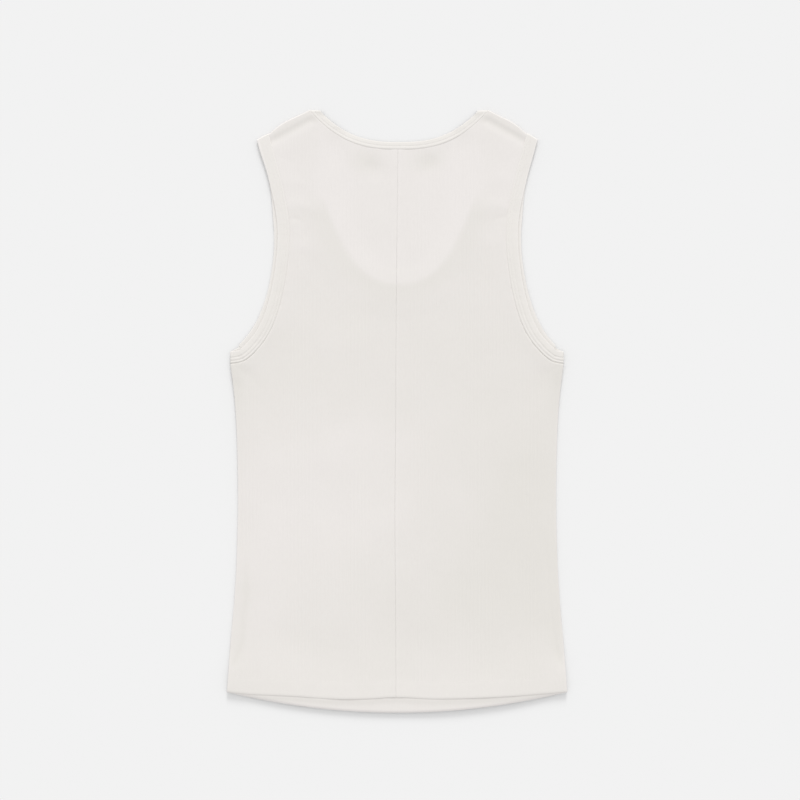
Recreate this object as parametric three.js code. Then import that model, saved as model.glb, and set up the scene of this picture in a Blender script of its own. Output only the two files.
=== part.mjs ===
// A tank top laid flat with its back up.
//
// Millimetres, +Z up. Seen from above, +X is to the right and +Y runs from the hem to the neck.
// The origin lies on the surface under the garment, below the middle of its outline.
//
// It is cut in three panels, two back halves joined down the centre and one front under them, with a folded
// binding round the neck and round each armhole. Each binding is a closed ring that turns over where the
// back meets the front. Both layers share their side, shoulder and seam lines, so their edges meet.

import * as THREE from 'three';

const { lerp, smoothstep } = THREE.MathUtils;

// Cloth
const WALL = 1.2;
const HEM_EXTRA = 0.7;
const HEM_DEPTH = 18.5;
const BINDING_THICKNESS = 2.2;
const ARMHOLE_BINDING = 12.5;
const HEM_EDGE = 3;
const HEM_SIDE = 8;
const SEAM_GAP = 0.3;
const LAYER_GAP = 0.3;

// Heights of the back's upper face over what lies under it
const TOP_OVER_FRONT = 2.9;
const TOP_OVER_BINDING = 3.9;
const TOP_IN_SCOOP = 2.4;
const TOP_AT_EDGES = 4.2;
const EDGE_REACH = 14;
const SHOULDER_SHELF = 22;
const HEM_SHELF = 26;
const HEM_FADE = 50;
const SCOOP_SHELF = 26;
const SCOOP_FADE = 34;

// Where the cloth turns over
const FOLD_RADIUS = (BINDING_THICKNESS + LAYER_GAP) / 2;
const FOLD_REACH = FOLD_RADIUS + BINDING_THICKNESS / 2;
const CURL_RADIUS = (TOP_AT_EDGES - LAYER_GAP) / 2;

// Outline
const LENGTH = 662;
const NECK_FOLD_Y = LENGTH / 2 - FOLD_REACH;
const FRONT_HEM_Y = -LENGTH / 2;
const UNDERARM_Y = 53.5;
const UNDERARM_CORNER_DROP = 1.3;
const ARMHOLE_MIDDLE = 0.8;
const SHOULDER_TIP = { x: 153.3, y: 298 };
const NECK_MIDDLE = 2.2;
const BACK_NECK_POWER = 2.45;
const FRONT_NECK_POWER = 2.3;
const NECK_FLARE = 12;
const FRONT_HEM_RISE = 22.7;

// Half the width from the hem to the underarm
const SIDES = [
  { y: -308, half: 187.5 },
  { y: -252, half: 183.5 },
  { y: -208, half: 179.6 },
  { y: -164, half: 177 },
  { y: -98, half: 175.5 },
  { y: -32, half: 176.5 },
  { y: 12, half: 179 },
  { y: 54, half: 184 },
];

// The centre back seam isn't quite straight
const CENTRE_SEAM = [
  { y: -314, x: -0.5 },
  { y: -219, x: -1.2 },
  { y: -109, x: -2.2 },
  { y: 1, x: -1.6 },
  { y: 111, x: -0.5 },
  { y: 288, x: 1.2 },
];

// The back hem dips on both sides of the centre seam
const BACK_HEM = [
  { x: -187.5, y: -308 },
  { x: -161, y: -310.8 },
  { x: -117, y: -312.7 },
  { x: -70, y: -315.8 },
  { x: -35, y: -315.8 },
  { x: 0, y: -314 },
  { x: 40, y: -315.8 },
  { x: 92, y: -314.6 },
  { x: 136, y: -312.2 },
  { x: 187.5, y: -308 },
];

// The armhole seam, outward from its middle line, from the underarm to the shoulder
const ARMHOLE_SEAM = [
  { x: 169.5, y: 56.4 },
  { x: 157, y: 66.5 },
  { x: 143.5, y: 84 },
  { x: 133, y: 108 },
  { x: 124.5, y: 143 },
  { x: 119.8, y: 185 },
  { x: 121.5, y: 218 },
  { x: 130, y: 259 },
];

// How far the front's armhole shows past the back's, along the seam from the underarm to the shoulder
const FRONT_ARMHOLE = [
  { along: 0, out: 0 },
  { along: 0.1, out: 4.6 },
  { along: 0.2, out: 6.9 },
  { along: 0.35, out: 5.8 },
  { along: 0.5, out: 4.6 },
  { along: 0.66, out: 3.5 },
  { along: 0.8, out: 0.4 },
  { along: 1, out: 0 },
];

// The neck binding's two edges: half widths at the shoulder fold and in the scoop, and their lowest points
const NECK_SEAM = { foldHalf: 96.3, scoopHalf: 98.5, backLow: 288, frontLow: 128.5 };
const NECK_EDGE = { foldHalf: 84.5, scoopHalf: 90, backLow: 296.5, frontLow: 137 };

// Soft swells of the back where it lies loosely on the front
const SWELLS = [
  { x: -115, y: 262, wide: 32, long: 40, rise: 0.5 },
  { x: 118, y: 262, wide: 32, long: 40, rise: 0.5 },
  { x: -95, y: 10, wide: 50, long: 90, rise: 0.6 },
  { x: 95, y: -60, wide: 55, long: 70, rise: 0.4 },
  { x: -70, y: -200, wide: 60, long: 55, rise: 0.4 },
  { x: 80, y: -230, wide: 45, long: 50, rise: 0.3 },
];

// Share of the armhole seam, at each end, over which its binding swings round to the fold
const SWING_AT_UNDERARM = 0.08;
const SWING_AT_SHOULDER = 0.1;

// Mesh steps
const HEM_ROWS = [0, HEM_DEPTH, HEM_DEPTH + HEM_EDGE];
const UPPER_ROWS = 21;
const LAYERS = {
  back: { torsoRows: 10, neckRows: 9, columns: 9 },
  front: { torsoRows: 6, neckRows: 17, columns: 5 },
};
const CURL_STEPS = 3;
const FOLD_STEPS = 6;
const CENTRE_COLUMN = 3;
const SMALL_STEP = 0.01;

// One side of a binding's section: how far across it, and how much of its half thickness
const BINDING_SECTION = [
  { across: 0, half: 0.8 },
  { across: 0.1, half: 1 },
  { across: 0.6, half: 1 },
  { across: 0.92, half: 0.8 },
];

const IVORY = { color: 0xe9e5df, roughness: 0.9, metalness: 0 };
const UP = new THREE.Vector3(0, 0, 1);
const point = (x, y) => new THREE.Vector2(x, y);

// Smooth value of a column in a short table, between its rows
function valueAt(rows, key, column, where) {
  const last = rows.length - 1;
  let i = rows.findIndex((row, k) => k < last && where < rows[k + 1][key]);
  if (i < 0) i = last - 1;
  const slope = (k) => {
    const a = rows[Math.max(0, k - 1)];
    const b = rows[Math.min(last, k + 1)];
    return (b[column] - a[column]) / (b[key] - a[key]);
  };
  const span = rows[i + 1][key] - rows[i][key];
  const t = THREE.MathUtils.clamp((where - rows[i][key]) / span, 0, 1);
  const start = rows[i][column] * (2 * t ** 3 - 3 * t ** 2 + 1) + slope(i) * span * (t ** 3 - 2 * t ** 2 + t);
  const end = rows[i + 1][column] * (3 * t ** 2 - 2 * t ** 3) + slope(i + 1) * span * (t ** 3 - t ** 2);
  return start + end;
}

const sideHalf = (y) => valueAt(SIDES, 'y', 'half', y);
const centreSeam = (y) => valueAt(CENTRE_SEAM, 'y', 'x', y);
const backHem = (x) => valueAt(BACK_HEM, 'x', 'y', x);
const frontHem = (x) => FRONT_HEM_Y + FRONT_HEM_RISE * (x / sideHalf(SIDES[0].y)) ** 2;
const swell = (x, y) => SWELLS.reduce(
  (sum, s) => sum + s.rise * Math.exp(-(((x - s.x) / s.wide) ** 2) - ((y - s.y) / s.long) ** 2),
  0,
);

// The shoulder fold of one side, from the neck to the tip, and the way out over it
function shoulderFold(side) {
  const neck = point(NECK_MIDDLE + side * NECK_SEAM.foldHalf, NECK_FOLD_Y);
  const tip = point(ARMHOLE_MIDDLE + side * SHOULDER_TIP.x, SHOULDER_TIP.y);
  const along = tip.clone().sub(neck).normalize();
  const out = point(-along.y * side, along.x * side);
  return { neck, tip, along, out };
}

// The armhole seam of one side as a curve, with the direction across its binding at each place
function armholeSeam(side) {
  const { tip, along } = shoulderFold(side);
  const start = point(side * (sideHalf(UNDERARM_Y) - FOLD_REACH), UNDERARM_Y);
  const end = tip.clone().addScaledVector(along, -ARMHOLE_BINDING);
  const middle = ARMHOLE_SEAM.map((row) => point(ARMHOLE_MIDDLE + side * row.x, row.y));
  const curve = new THREE.SplineCurve([start, ...middle, end]);
  const across = (u) => {
    const tangent = curve.getTangentAt(u);
    const normal = point(tangent.y * side, -tangent.x * side);
    const towardFold = smoothstep(u, 1 - SWING_AT_SHOULDER, 1);
    const towardSide = 1 - smoothstep(u, 0, SWING_AT_UNDERARM);
    return normal.lerp(along, towardFold).lerp(point(0, 1), towardSide).normalize();
  };
  return { at: (u) => curve.getPointAt(u), across };
}

// Points of the neck binding's edges on the back, from t = -1 at the left shoulder to 1 at the right
function backNeck(edge, t) {
  const rise = (NECK_FOLD_Y - edge.backLow) * Math.abs(t) ** BACK_NECK_POWER;
  return point(NECK_MIDDLE + t * edge.foldHalf, edge.backLow + rise);
}

// Points of the neck binding's edges on the front, from angle 0 at the right shoulder to pi at the left
function frontNeck(edge, angle) {
  const power = 2 / FRONT_NECK_POWER;
  const down = (NECK_FOLD_Y - edge.frontLow) * Math.sin(angle) ** power;
  const flare = (edge.scoopHalf - edge.foldHalf) * Math.exp(-((down / NECK_FLARE) ** 2));
  const half = edge.scoopHalf * Math.abs(Math.cos(angle)) ** power - flare;
  return point(NECK_MIDDLE + Math.sign(Math.cos(angle)) * half, NECK_FOLD_Y - down);
}

function distanceToPath(path, x, y) {
  let best = Infinity;
  for (let i = 1; i < path.length; i += 1) {
    const a = path[i - 1];
    const b = path[i];
    const length = a.distanceToSquared(b);
    const t = THREE.MathUtils.clamp(((x - a.x) * (b.x - a.x) + (y - a.y) * (b.y - a.y)) / length, 0, 1);
    best = Math.min(best, Math.hypot(x - lerp(a.x, b.x, t), y - lerp(a.y, b.y, t)));
  }
  return best;
}

const steps = (count) => Array.from({ length: count + 1 }, (_, i) => i / count);
const ARMHOLES = { '-1': armholeSeam(-1), 1: armholeSeam(1) };
const PATH_STEPS = steps(48);
const SCOOP_PATH = PATH_STEPS.map((t) => frontNeck(NECK_SEAM, t * Math.PI));
const ARMHOLE_PATHS = { '-1': PATH_STEPS.map(ARMHOLES[-1].at), 1: PATH_STEPS.map(ARMHOLES[1].at) };

// Distance from the front scoop's seam, negative inside the scoop
function scoopDistance(x, y) {
  const across = Math.abs(x - NECK_MIDDLE) / NECK_SEAM.scoopHalf;
  const down = (NECK_FOLD_Y - y) / (NECK_FOLD_Y - NECK_SEAM.frontLow);
  const inside = across ** FRONT_NECK_POWER + Math.max(0, down) ** FRONT_NECK_POWER < 1;
  return (inside ? -1 : 1) * distanceToPath(SCOOP_PATH, x, y);
}

// How much a place belongs to the edges, where the two layers part to meet or to carry a binding
function edgeShare(x, y) {
  const side = x < 0 ? -1 : 1;
  const { neck, out } = shoulderFold(side);
  const toShoulder = -(x - neck.x) * out.x - (y - neck.y) * out.y;
  const toArmhole = distanceToPath(ARMHOLE_PATHS[side], x, y);
  const toSide = y > UNDERARM_Y ? Infinity : sideHalf(y) - CURL_RADIUS - Math.abs(x);
  const nearest = Math.min(toShoulder - SHOULDER_SHELF, toArmhole, toSide);
  return Math.exp(-((Math.max(0, nearest) / EDGE_REACH) ** 2));
}

// The back's upper face
function backTop(x, y) {
  const scoop = scoopDistance(x, y);
  const away = smoothstep(Math.abs(scoop), SCOOP_SHELF, SCOOP_SHELF + SCOOP_FADE);
  const flat = scoop < 0 ? TOP_IN_SCOOP : TOP_OVER_FRONT + swell(x, y);
  const body = lerp(TOP_OVER_BINDING, flat, away);
  const fromHem = smoothstep(y - backHem(x), HEM_SHELF, HEM_SHELF + HEM_FADE);
  return lerp(lerp(TOP_AT_EDGES, body, fromHem), TOP_AT_EDGES, edgeShare(x, y));
}

// A panel is thicker where its hem is turned up, but for the last stretch before the side fold
function wallAt(x, y, hemY) {
  const inHem = 1 - smoothstep(y - hemY, HEM_DEPTH, HEM_DEPTH + HEM_EDGE);
  const toSide = sideHalf(y) - CURL_RADIUS - Math.abs(x);
  return WALL + HEM_EXTRA * inHem * smoothstep(toSide, 0, HEM_SIDE);
}

// The rows of a half panel, each from its inner end to its outer end
function panelRows(layer, side) {
  const { torsoRows, neckRows } = LAYERS[layer];
  const hem = layer === 'back' ? backHem : frontHem;
  const inner = layer === 'back' ? (y) => centreSeam(y) + (side * SEAM_GAP) / 2 : () => NECK_MIDDLE;
  const top = UNDERARM_Y - UNDERARM_CORNER_DROP;
  const height = top - hem(0);
  const levels = steps(torsoRows).slice(1).map((t) => lerp(HEM_ROWS.at(-1), height, t));
  const rows = [...HEM_ROWS, ...levels].map((level) => {
    const share = level / height;
    const yAt = (x) => lerp(hem(x), top, share);
    const outerY = yAt(side * sideHalf(SIDES[0].y));
    return { start: inner(yAt(0)), end: side * sideHalf(outerY), yAt };
  });

  const { at, across } = ARMHOLES[side];
  const centreRows = UPPER_ROWS - neckRows;
  const low = layer === 'back' ? NECK_SEAM.backLow : NECK_SEAM.frontLow;
  for (let i = 1; i <= UPPER_ROWS; i += 1) {
    const u = i / UPPER_ROWS;
    const out = layer === 'front' ? valueAt(FRONT_ARMHOLE, 'along', 'out', u) : 0;
    const to = at(u).addScaledVector(across(u), out - SEAM_GAP / 2);
    const onNeck = (i - centreRows) / neckRows;
    const from = onNeck > 0 ? neckPoint(layer, side, onNeck) : point(0, lerp(top, low, i / centreRows));
    if (onNeck <= 0) from.x = inner(from.y);
    if (onNeck === 0) from.y -= SEAM_GAP / 2;
    rows.push({ from, to });
  }
  return rows;
}

// The panel's own edge along the neck, from the centre at 0 to the shoulder at 1
function neckPoint(layer, side, t) {
  const place = (where) => (layer === 'back'
    ? backNeck(NECK_SEAM, side * where)
    : frontNeck(NECK_SEAM, (1 - side * where) * (Math.PI / 2)));
  const seam = place(t);
  const tangent = seam.clone().sub(place(t - SMALL_STEP)).normalize();
  return seam.addScaledVector(point(tangent.y * side, -tangent.x * side), SEAM_GAP / 2);
}

// One half of a panel as a grid of places, each with a point on its outer face and one on its inner face
function panelGrid(layer, side) {
  const rows = panelRows(layer, side);
  const innerRadius = CURL_RADIUS - WALL;
  const { out: overShoulder } = shoulderFold(side);
  const flats = steps(LAYERS[layer].columns - 1);
  const curls = steps(CURL_STEPS).slice(1).map((t) => (t * Math.PI) / 2);
  const hem = layer === 'back' ? backHem : frontHem;

  const faces = (x, y, turn, shift) => {
    const wall = wallAt(x, y, hem(x));
    const drop = 1 - Math.cos(turn);
    const high = layer === 'back' ? backTop(x, y) : wall;
    const low = high - wall;
    const outerZ = layer === 'back' ? high - CURL_RADIUS * drop : CURL_RADIUS * drop;
    const innerZ = layer === 'back' ? low - innerRadius * drop : high + innerRadius * drop;
    const place = (radius, z) => new THREE.Vector3(
      x + shift.x * radius * Math.sin(turn),
      y + shift.y * radius * Math.sin(turn),
      z,
    );
    return { outer: place(CURL_RADIUS, outerZ), inner: place(innerRadius, innerZ) };
  };

  // A row of the body ends in the side fold, a row beside the armhole runs flat to its seam
  const foldedRow = (row) => {
    const fold = row.end - side * CURL_RADIUS;
    const xs = flats.map((t) => lerp(row.start, fold, t));
    xs.splice(1, 0, row.start + side * CENTRE_COLUMN);
    const flat = xs.map((x) => faces(x, row.yAt(x), 0, point(0, 0)));
    return [...flat, ...curls.map((turn) => faces(fold, row.yAt(fold), turn, point(side, 0)))];
  };
  const flatRow = (from, to, turn = 0) => {
    const length = from.distanceTo(to);
    const body = (length - CURL_RADIUS) / length;
    const shares = flats.map((t) => t * body);
    shares.splice(1, 0, CENTRE_COLUMN / length);
    shares.push(...curls.map((angle) => body + (1 - body) * Math.sin(angle)));
    return shares.map((t) => faces(lerp(from.x, to.x, t), lerp(from.y, to.y, t), turn, overShoulder));
  };

  const grid = rows.slice(0, -1).map((row) => (row.yAt ? foldedRow(row) : flatRow(row.from, row.to)));
  const toCurl = overShoulder.clone().multiplyScalar(FOLD_REACH - CURL_RADIUS);
  const [from, to] = [rows.at(-1).from, rows.at(-1).to].map((end) => end.clone().add(toCurl));
  [0, ...curls].forEach((turn) => grid.push(flatRow(from, to, turn)));
  return grid;
}

// Collects points and triangles for one closed body
class Shell {
  constructor() {
    this.positions = [];
    this.triangles = [];
  }

  add(vector) {
    this.positions.push(vector.x, vector.y, vector.z);
    return this.positions.length / 3 - 1;
  }

  quad(a, b, c, d) {
    this.triangles.push(a, b, c, a, c, d);
  }

  geometry() {
    const geometry = new THREE.BufferGeometry();
    geometry.setAttribute('position', new THREE.Float32BufferAttribute(this.positions, 3));
    geometry.setIndex(this.triangles);
    geometry.computeVertexNormals();
    return geometry;
  }
}

// Closes the two faces of a half panel round their borders. The front's halves run on into each other below
// the scoop, so that border stays open.
function addHalfPanel(shell, layer, side) {
  const grid = panelGrid(layer, side);
  const { torsoRows, neckRows } = LAYERS[layer];
  const openRows = layer === 'front' ? HEM_ROWS.length + torsoRows + UPPER_ROWS - neckRows - 1 : 0;
  const outer = grid.map((row) => row.map((faces) => shell.add(faces.outer)));
  const inner = grid.map((row) => row.map((faces) => shell.add(faces.inner)));
  const outward = (layer === 'back') === side > 0;
  const quad = (a, b, c, d) => (outward ? shell.quad(a, b, c, d) : shell.quad(d, c, b, a));
  const lastRow = grid.length - 1;
  const lastColumn = grid[0].length - 1;
  for (let r = 0; r < lastRow; r += 1) {
    for (let c = 0; c < lastColumn; c += 1) {
      quad(outer[r][c], outer[r][c + 1], outer[r + 1][c + 1], outer[r + 1][c]);
      quad(inner[r][c], inner[r + 1][c], inner[r + 1][c + 1], inner[r][c + 1]);
    }
    if (r >= openRows) quad(outer[r][0], outer[r + 1][0], inner[r + 1][0], inner[r][0]);
    quad(outer[r][lastColumn], inner[r][lastColumn], inner[r + 1][lastColumn], outer[r + 1][lastColumn]);
  }
  for (let c = 0; c < lastColumn; c += 1) {
    quad(outer[0][c], inner[0][c], inner[0][c + 1], outer[0][c + 1]);
    quad(outer[lastRow][c], outer[lastRow][c + 1], inner[lastRow][c + 1], inner[lastRow][c]);
  }
}

// Stations of a binding where it turns over, from the back run down to the front run or back up
function foldStations(seam, edge, out, downward) {
  const middle = BINDING_THICKNESS / 2 + FOLD_RADIUS;
  return steps(FOLD_STEPS).slice(1, -1).map((t) => {
    const turn = (downward ? t : 1 - t) * Math.PI;
    const away = new THREE.Vector3(out.x, out.y, 0).multiplyScalar(Math.sin(turn));
    const normal = away.clone().addScaledVector(UP, Math.cos(turn));
    const place = (p) => new THREE.Vector3(p.x, p.y, middle).addScaledVector(normal, FOLD_RADIUS);
    return { seam: place(seam), edge: place(edge), normal };
  });
}

// Stations of a binding on the flat: the front run lies face down
function flatStation(seam, edge, z, isBack) {
  const lift = (p) => new THREE.Vector3(p.x, p.y, z);
  return { seam: lift(seam), edge: lift(edge), normal: new THREE.Vector3(0, 0, isBack ? 1 : -1) };
}

const FRONT_RUN_Z = BINDING_THICKNESS / 2;
const BACK_RUN_Z = FRONT_RUN_Z + 2 * FOLD_RADIUS;

function armholeStations(side) {
  const { at, across } = ARMHOLES[side];
  const { out } = shoulderFold(side);
  const run = (isBack) => steps(UPPER_ROWS).map((u) => {
    const shift = isBack ? 0 : valueAt(FRONT_ARMHOLE, 'along', 'out', u);
    const seam = at(u).addScaledVector(across(u), shift);
    const edge = seam.clone().addScaledVector(across(u), ARMHOLE_BINDING);
    return flatStation(seam, edge, isBack ? BACK_RUN_Z : FRONT_RUN_Z, isBack);
  });
  const back = run(true);
  const front = run(false).reverse();
  const shoulder = foldStations(back.at(-1).seam, back.at(-1).edge, out, true);
  const underarm = foldStations(back[0].seam, back[0].edge, point(side, 0), false);
  return [...back, ...shoulder, ...front, ...underarm];
}

function neckStations() {
  const back = steps(2 * LAYERS.back.neckRows).map((t) => {
    const seam = backNeck(NECK_SEAM, lerp(-1, 1, t));
    const edge = backNeck(NECK_EDGE, lerp(-1, 1, t));
    const atFold = t === 0 || t === 1;
    return flatStation(seam, edge, atFold ? BACK_RUN_Z : backTop(seam.x, seam.y) - WALL / 2, true);
  });
  const front = steps(2 * LAYERS.front.neckRows).map((t) => {
    const angle = t * Math.PI;
    return flatStation(frontNeck(NECK_SEAM, angle), frontNeck(NECK_EDGE, angle), FRONT_RUN_Z, false);
  });
  const out = point(0, 1);
  const right = foldStations(back.at(-1).seam, back.at(-1).edge, out, true);
  const left = foldStations(back[0].seam, back[0].edge, out, false);
  return [...back, ...right, ...front, ...left];
}

// A closed ring of a rounded flat section through its stations
function bindingGeometry(stations) {
  const shell = new Shell();
  const upper = BINDING_SECTION;
  const lower = [...BINDING_SECTION].reverse().map(({ across, half }) => ({ across, half: -half }));
  const section = [...upper, { across: 1, half: 0 }, ...lower];
  const rings = stations.map(({ seam, edge, normal }) => {
    const width = seam.distanceTo(edge);
    const clear = SEAM_GAP / 2 / width;
    return section.map(({ across, half }) => {
      const place = seam.clone().lerp(edge, clear + (1 - clear) * across);
      return shell.add(place.addScaledVector(normal, (half * BINDING_THICKNESS) / 2));
    });
  });
  rings.forEach((ring, i) => {
    const next = rings[(i + 1) % rings.length];
    ring.forEach((a, k) => {
      const l = (k + 1) % ring.length;
      shell.quad(a, next[k], next[l], ring[l]);
    });
  });
  return shell.geometry();
}

function panelGeometry(layer, sides) {
  const shell = new Shell();
  sides.forEach((side) => addHalfPanel(shell, layer, side));
  return shell.geometry();
}

// A body whose volume comes out negative has its triangles the wrong way round
function facingOut(geometry) {
  const p = geometry.getAttribute('position');
  const index = geometry.getIndex();
  const [a, b, c] = [new THREE.Vector3(), new THREE.Vector3(), new THREE.Vector3()];
  let volume = 0;
  for (let i = 0; i < index.count; i += 3) {
    [a, b, c].forEach((v, k) => v.fromBufferAttribute(p, index.getX(i + k)));
    volume += a.dot(b.cross(c));
  }
  if (volume < 0) {
    for (let i = 0; i < index.count; i += 3) {
      const second = index.getX(i + 1);
      index.setX(i + 1, index.getX(i + 2));
      index.setX(i + 2, second);
    }
    geometry.computeVertexNormals();
  }
  return geometry;
}

function addPiece(group, name, geometry) {
  const mesh = new THREE.Mesh(facingOut(geometry), new THREE.MeshStandardMaterial(IVORY));
  mesh.name = name;
  group.add(mesh);
}

const tankTop = new THREE.Group();
addPiece(tankTop, 'back_left', panelGeometry('back', [-1]));
addPiece(tankTop, 'back_right', panelGeometry('back', [1]));
addPiece(tankTop, 'front', panelGeometry('front', [-1, 1]));
addPiece(tankTop, 'neck_binding', bindingGeometry(neckStations()));
addPiece(tankTop, 'armhole_binding_left', bindingGeometry(armholeStations(-1)));
addPiece(tankTop, 'armhole_binding_right', bindingGeometry(armholeStations(1)));

export default tankTop;
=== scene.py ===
"""A white rib knit tank top laid flat with its back up, on a plain pale floor.

All shapes are worked out in millimetres in the model's own frame and turned into metres at the end.
+X is to the right and +Y runs from the hem to the neck, seen from above. The floor is at z = 0.
"""

import math

import bpy
import numpy as np
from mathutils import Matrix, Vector


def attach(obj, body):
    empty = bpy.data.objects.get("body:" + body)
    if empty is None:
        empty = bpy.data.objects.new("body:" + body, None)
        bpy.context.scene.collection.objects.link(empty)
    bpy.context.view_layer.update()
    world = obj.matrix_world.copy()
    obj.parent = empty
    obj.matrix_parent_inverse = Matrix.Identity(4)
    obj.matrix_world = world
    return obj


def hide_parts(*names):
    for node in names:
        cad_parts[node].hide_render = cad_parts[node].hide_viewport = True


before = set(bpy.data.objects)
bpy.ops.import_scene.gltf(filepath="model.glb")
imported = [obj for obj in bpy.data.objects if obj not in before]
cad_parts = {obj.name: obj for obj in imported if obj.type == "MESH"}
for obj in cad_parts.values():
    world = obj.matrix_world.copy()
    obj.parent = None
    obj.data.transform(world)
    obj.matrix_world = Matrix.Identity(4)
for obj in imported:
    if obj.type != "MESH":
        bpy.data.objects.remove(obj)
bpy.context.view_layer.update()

MM = 0.001
WORD = {-1: "left", 1: "right"}
UP = np.array([0.0, 0.0, 1.0])


def table(columns, *rows):
    """A short table: the names of its columns, and a tuple for each row."""
    return [dict(zip(columns.split(), row)) for row in rows]


def lines(*rows):
    """What happens along named lines: how much at most, how far from the line, and how wide."""
    return {row["line"]: row for row in table("line most at wide", *rows)}


# Cloth
WALL = 0.8
HEM_EXTRA = 0.5
HEM_DEPTH = 18.5
HEM_EDGE = 3
HEM_SIDE = 8
BINDING_THICKNESS = 1.5
ARMHOLE_BINDING = 12.5
LAYER_GAP = 0.2

# Heights of the back's upper face over what lies under it
TOP_OVER_FRONT = 2.1
TOP_OVER_BINDING = 2.6
TOP_IN_SCOOP = 1.7
TOP_AT_SIDES = 1.85
TOP_AT_HEM = 2.8
TOP_AT_BINDINGS = 3.05
EDGE_REACH = 14
SHOULDER_SHELF = 22
HEM_SHELF = 26
HEM_FADE = 50

# Where the bindings turn over
FOLD_RADIUS = (BINDING_THICKNESS + LAYER_GAP) / 2
FOLD_REACH = FOLD_RADIUS + BINDING_THICKNESS / 2

# Outline
LENGTH = 662
NECK_FOLD_Y = LENGTH / 2 - FOLD_REACH
FRONT_HEM_Y = -LENGTH / 2
UNDERARM_Y = 53.5
UNDERARM_CORNER_DROP = 1.3
ARMHOLE_MIDDLE = 0.8
SHOULDER_TIP = (153.3, 298)
NECK_MIDDLE = 2.2
BACK_NECK_POWER = 2.65
FRONT_NECK_POWER = 2.3
NECK_FLARE = 12
FRONT_HEM_RISE = 22.7
SEAM_HALF_GAP = 0.01

# Half the width from the hem to the underarm
SIDES = table(
    "y half",
    (-308, 187),
    (-252, 182.9),
    (-208, 179),
    (-164, 176.4),
    (-98, 174.9),
    (-32, 175.9),
    (12, 178.4),
    (54, 183.4),
)

# The centre back seam isn't quite straight
CENTRE_SEAM = table(
    "y x",
    (-314, -1.2),
    (-219, -1.6),
    (-109, -2.3),
    (1, -1.5),
    (111, -0.9),
    (288, 1),
)

# The back hem dips on both sides of the centre seam
BACK_HEM = table(
    "x y",
    (-187.5, -308),
    (-161, -310.8),
    (-117, -312.7),
    (-70, -315.8),
    (-35, -315.8),
    (0, -314),
    (40, -315.8),
    (92, -314.6),
    (136, -312.2),
    (187.5, -308),
)

# The armhole seam, outward from its middle line, from the underarm to the shoulder
ARMHOLE_SEAM = table(
    "x y",
    (169.5, 56.4),
    (157, 66.5),
    (143.5, 84),
    (133, 108),
    (124.5, 143),
    (119.8, 185),
    (121.5, 218),
    (130, 259),
)

# How far the front's armhole shows past the back's, along the seam from the underarm to the shoulder
FRONT_ARMHOLE = table(
    "along left right",
    (0, 0, 0),
    (0.025, 2.6, 1.8),
    (0.05, 3.9, 2.9),
    (0.1, 4.8, 3.8),
    (0.2, 5.2, 4.8),
    (0.35, 3.6, 3.8),
    (0.5, 3.2, 3.1),
    (0.66, 3.8, 3.5),
    (0.8, 0.4, 0.4),
    (1, 0, 0),
)

# The neck binding's two edges: half widths at the shoulder fold and in the scoop, and their lowest points
NECK_SEAM = {"fold_half": 96.3, "scoop_half": 98.5, "back_low": 288.9, "front_low": 128.5}
NECK_EDGE = {"fold_half": 86, "scoop_half": 90, "back_low": 296.3, "front_low": 137}

# Soft swells and hollows of the back where it lies loosely on the front
SWELLS = table(
    "x y wide long most",
    (-115, 262, 32, 40, 0.5),
    (118, 262, 32, 40, 0.5),
    (-95, 10, 50, 90, 0.6),
    (95, -60, 55, 70, 0.4),
    (-70, -200, 60, 55, 0.4),
    (80, -230, 45, 50, 0.3),
)

# How far both layers stand off the floor along the outline, from the hem's corner to the shoulder
EDGE_LIFT = table(
    "along left right",
    (0, 0.1, 0.1),
    (0.1, 0, 0),
    (0.3, 0, 0),
    (0.5, 0.5, 0.4),
    (0.58, 0.8, 0.8),
    (0.68, 0.3, 0.4),
    (0.84, 0.2, 0.5),
    (0.92, 0.6, 0.1),
    (1, 0.4, 0.1),
)
EDGE_LIFT_REACH = 11
HEM_LIFT = {"rise": 2.6, "reach": 38, "at_corners": 0.65, "corner": 110}
LIFT_UNEVEN = {"share": 0.15, "at_hem": 60, "at_edge": 45}

# How far the shoulder's edge bows out past the straight fold of its bindings, from the neck to the armhole
SHOULDER_BOW = table(
    "along out",
    (0, 1),
    (0.3, 1.7),
    (0.55, 2.4),
    (0.75, 1.5),
    (0.9, -0.2),
    (1, -0.8),
)
SHOULDER_BOW_REACH = 25

# The first number of each row of random values
SEED = {
    "armhole": 11,
    "neck": 21,
    "centre": 31,
    "hem line": 41,
    "hem pucker": 43,
    "creases": 60,
    "strip": 81,
    "hem lift": 91,
    "edge lift": 92,
    "armhole ring": 101,
    "neck ring": 111,
    "thread": 131,
}

# Share of the armhole seam, at each end, over which its binding swings round to the fold
SWING_AT_UNDERARM = 0.08
SWING_AT_SHOULDER = 0.1


def lerp(a, b, t):
    return a + (b - a) * t


def eased(t):
    return t * t * (3 - 2 * t)


def smoothstep(value, low, high):
    return eased(np.clip((value - low) / (high - low), 0, 1))


def between(value, rise, fall):
    """1 between two places, with a soft rise before them and a soft fall after them."""
    return smoothstep(value, *rise) * (1 - smoothstep(value, *fall))


def bell(distance, width):
    return np.exp(-((distance / width) ** 2))


def beside(rows, line, distance):
    """What a table of lines gives at a distance from one of them."""
    row = rows[line]
    return row["most"] * bell(distance - row["at"], row["wide"])


def spots(rows, x, y):
    """Sum of the soft round spots in a table."""
    return sum(s["most"] * bell(x - s["x"], s["wide"]) * bell(y - s["y"], s["long"]) for s in rows)


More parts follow.
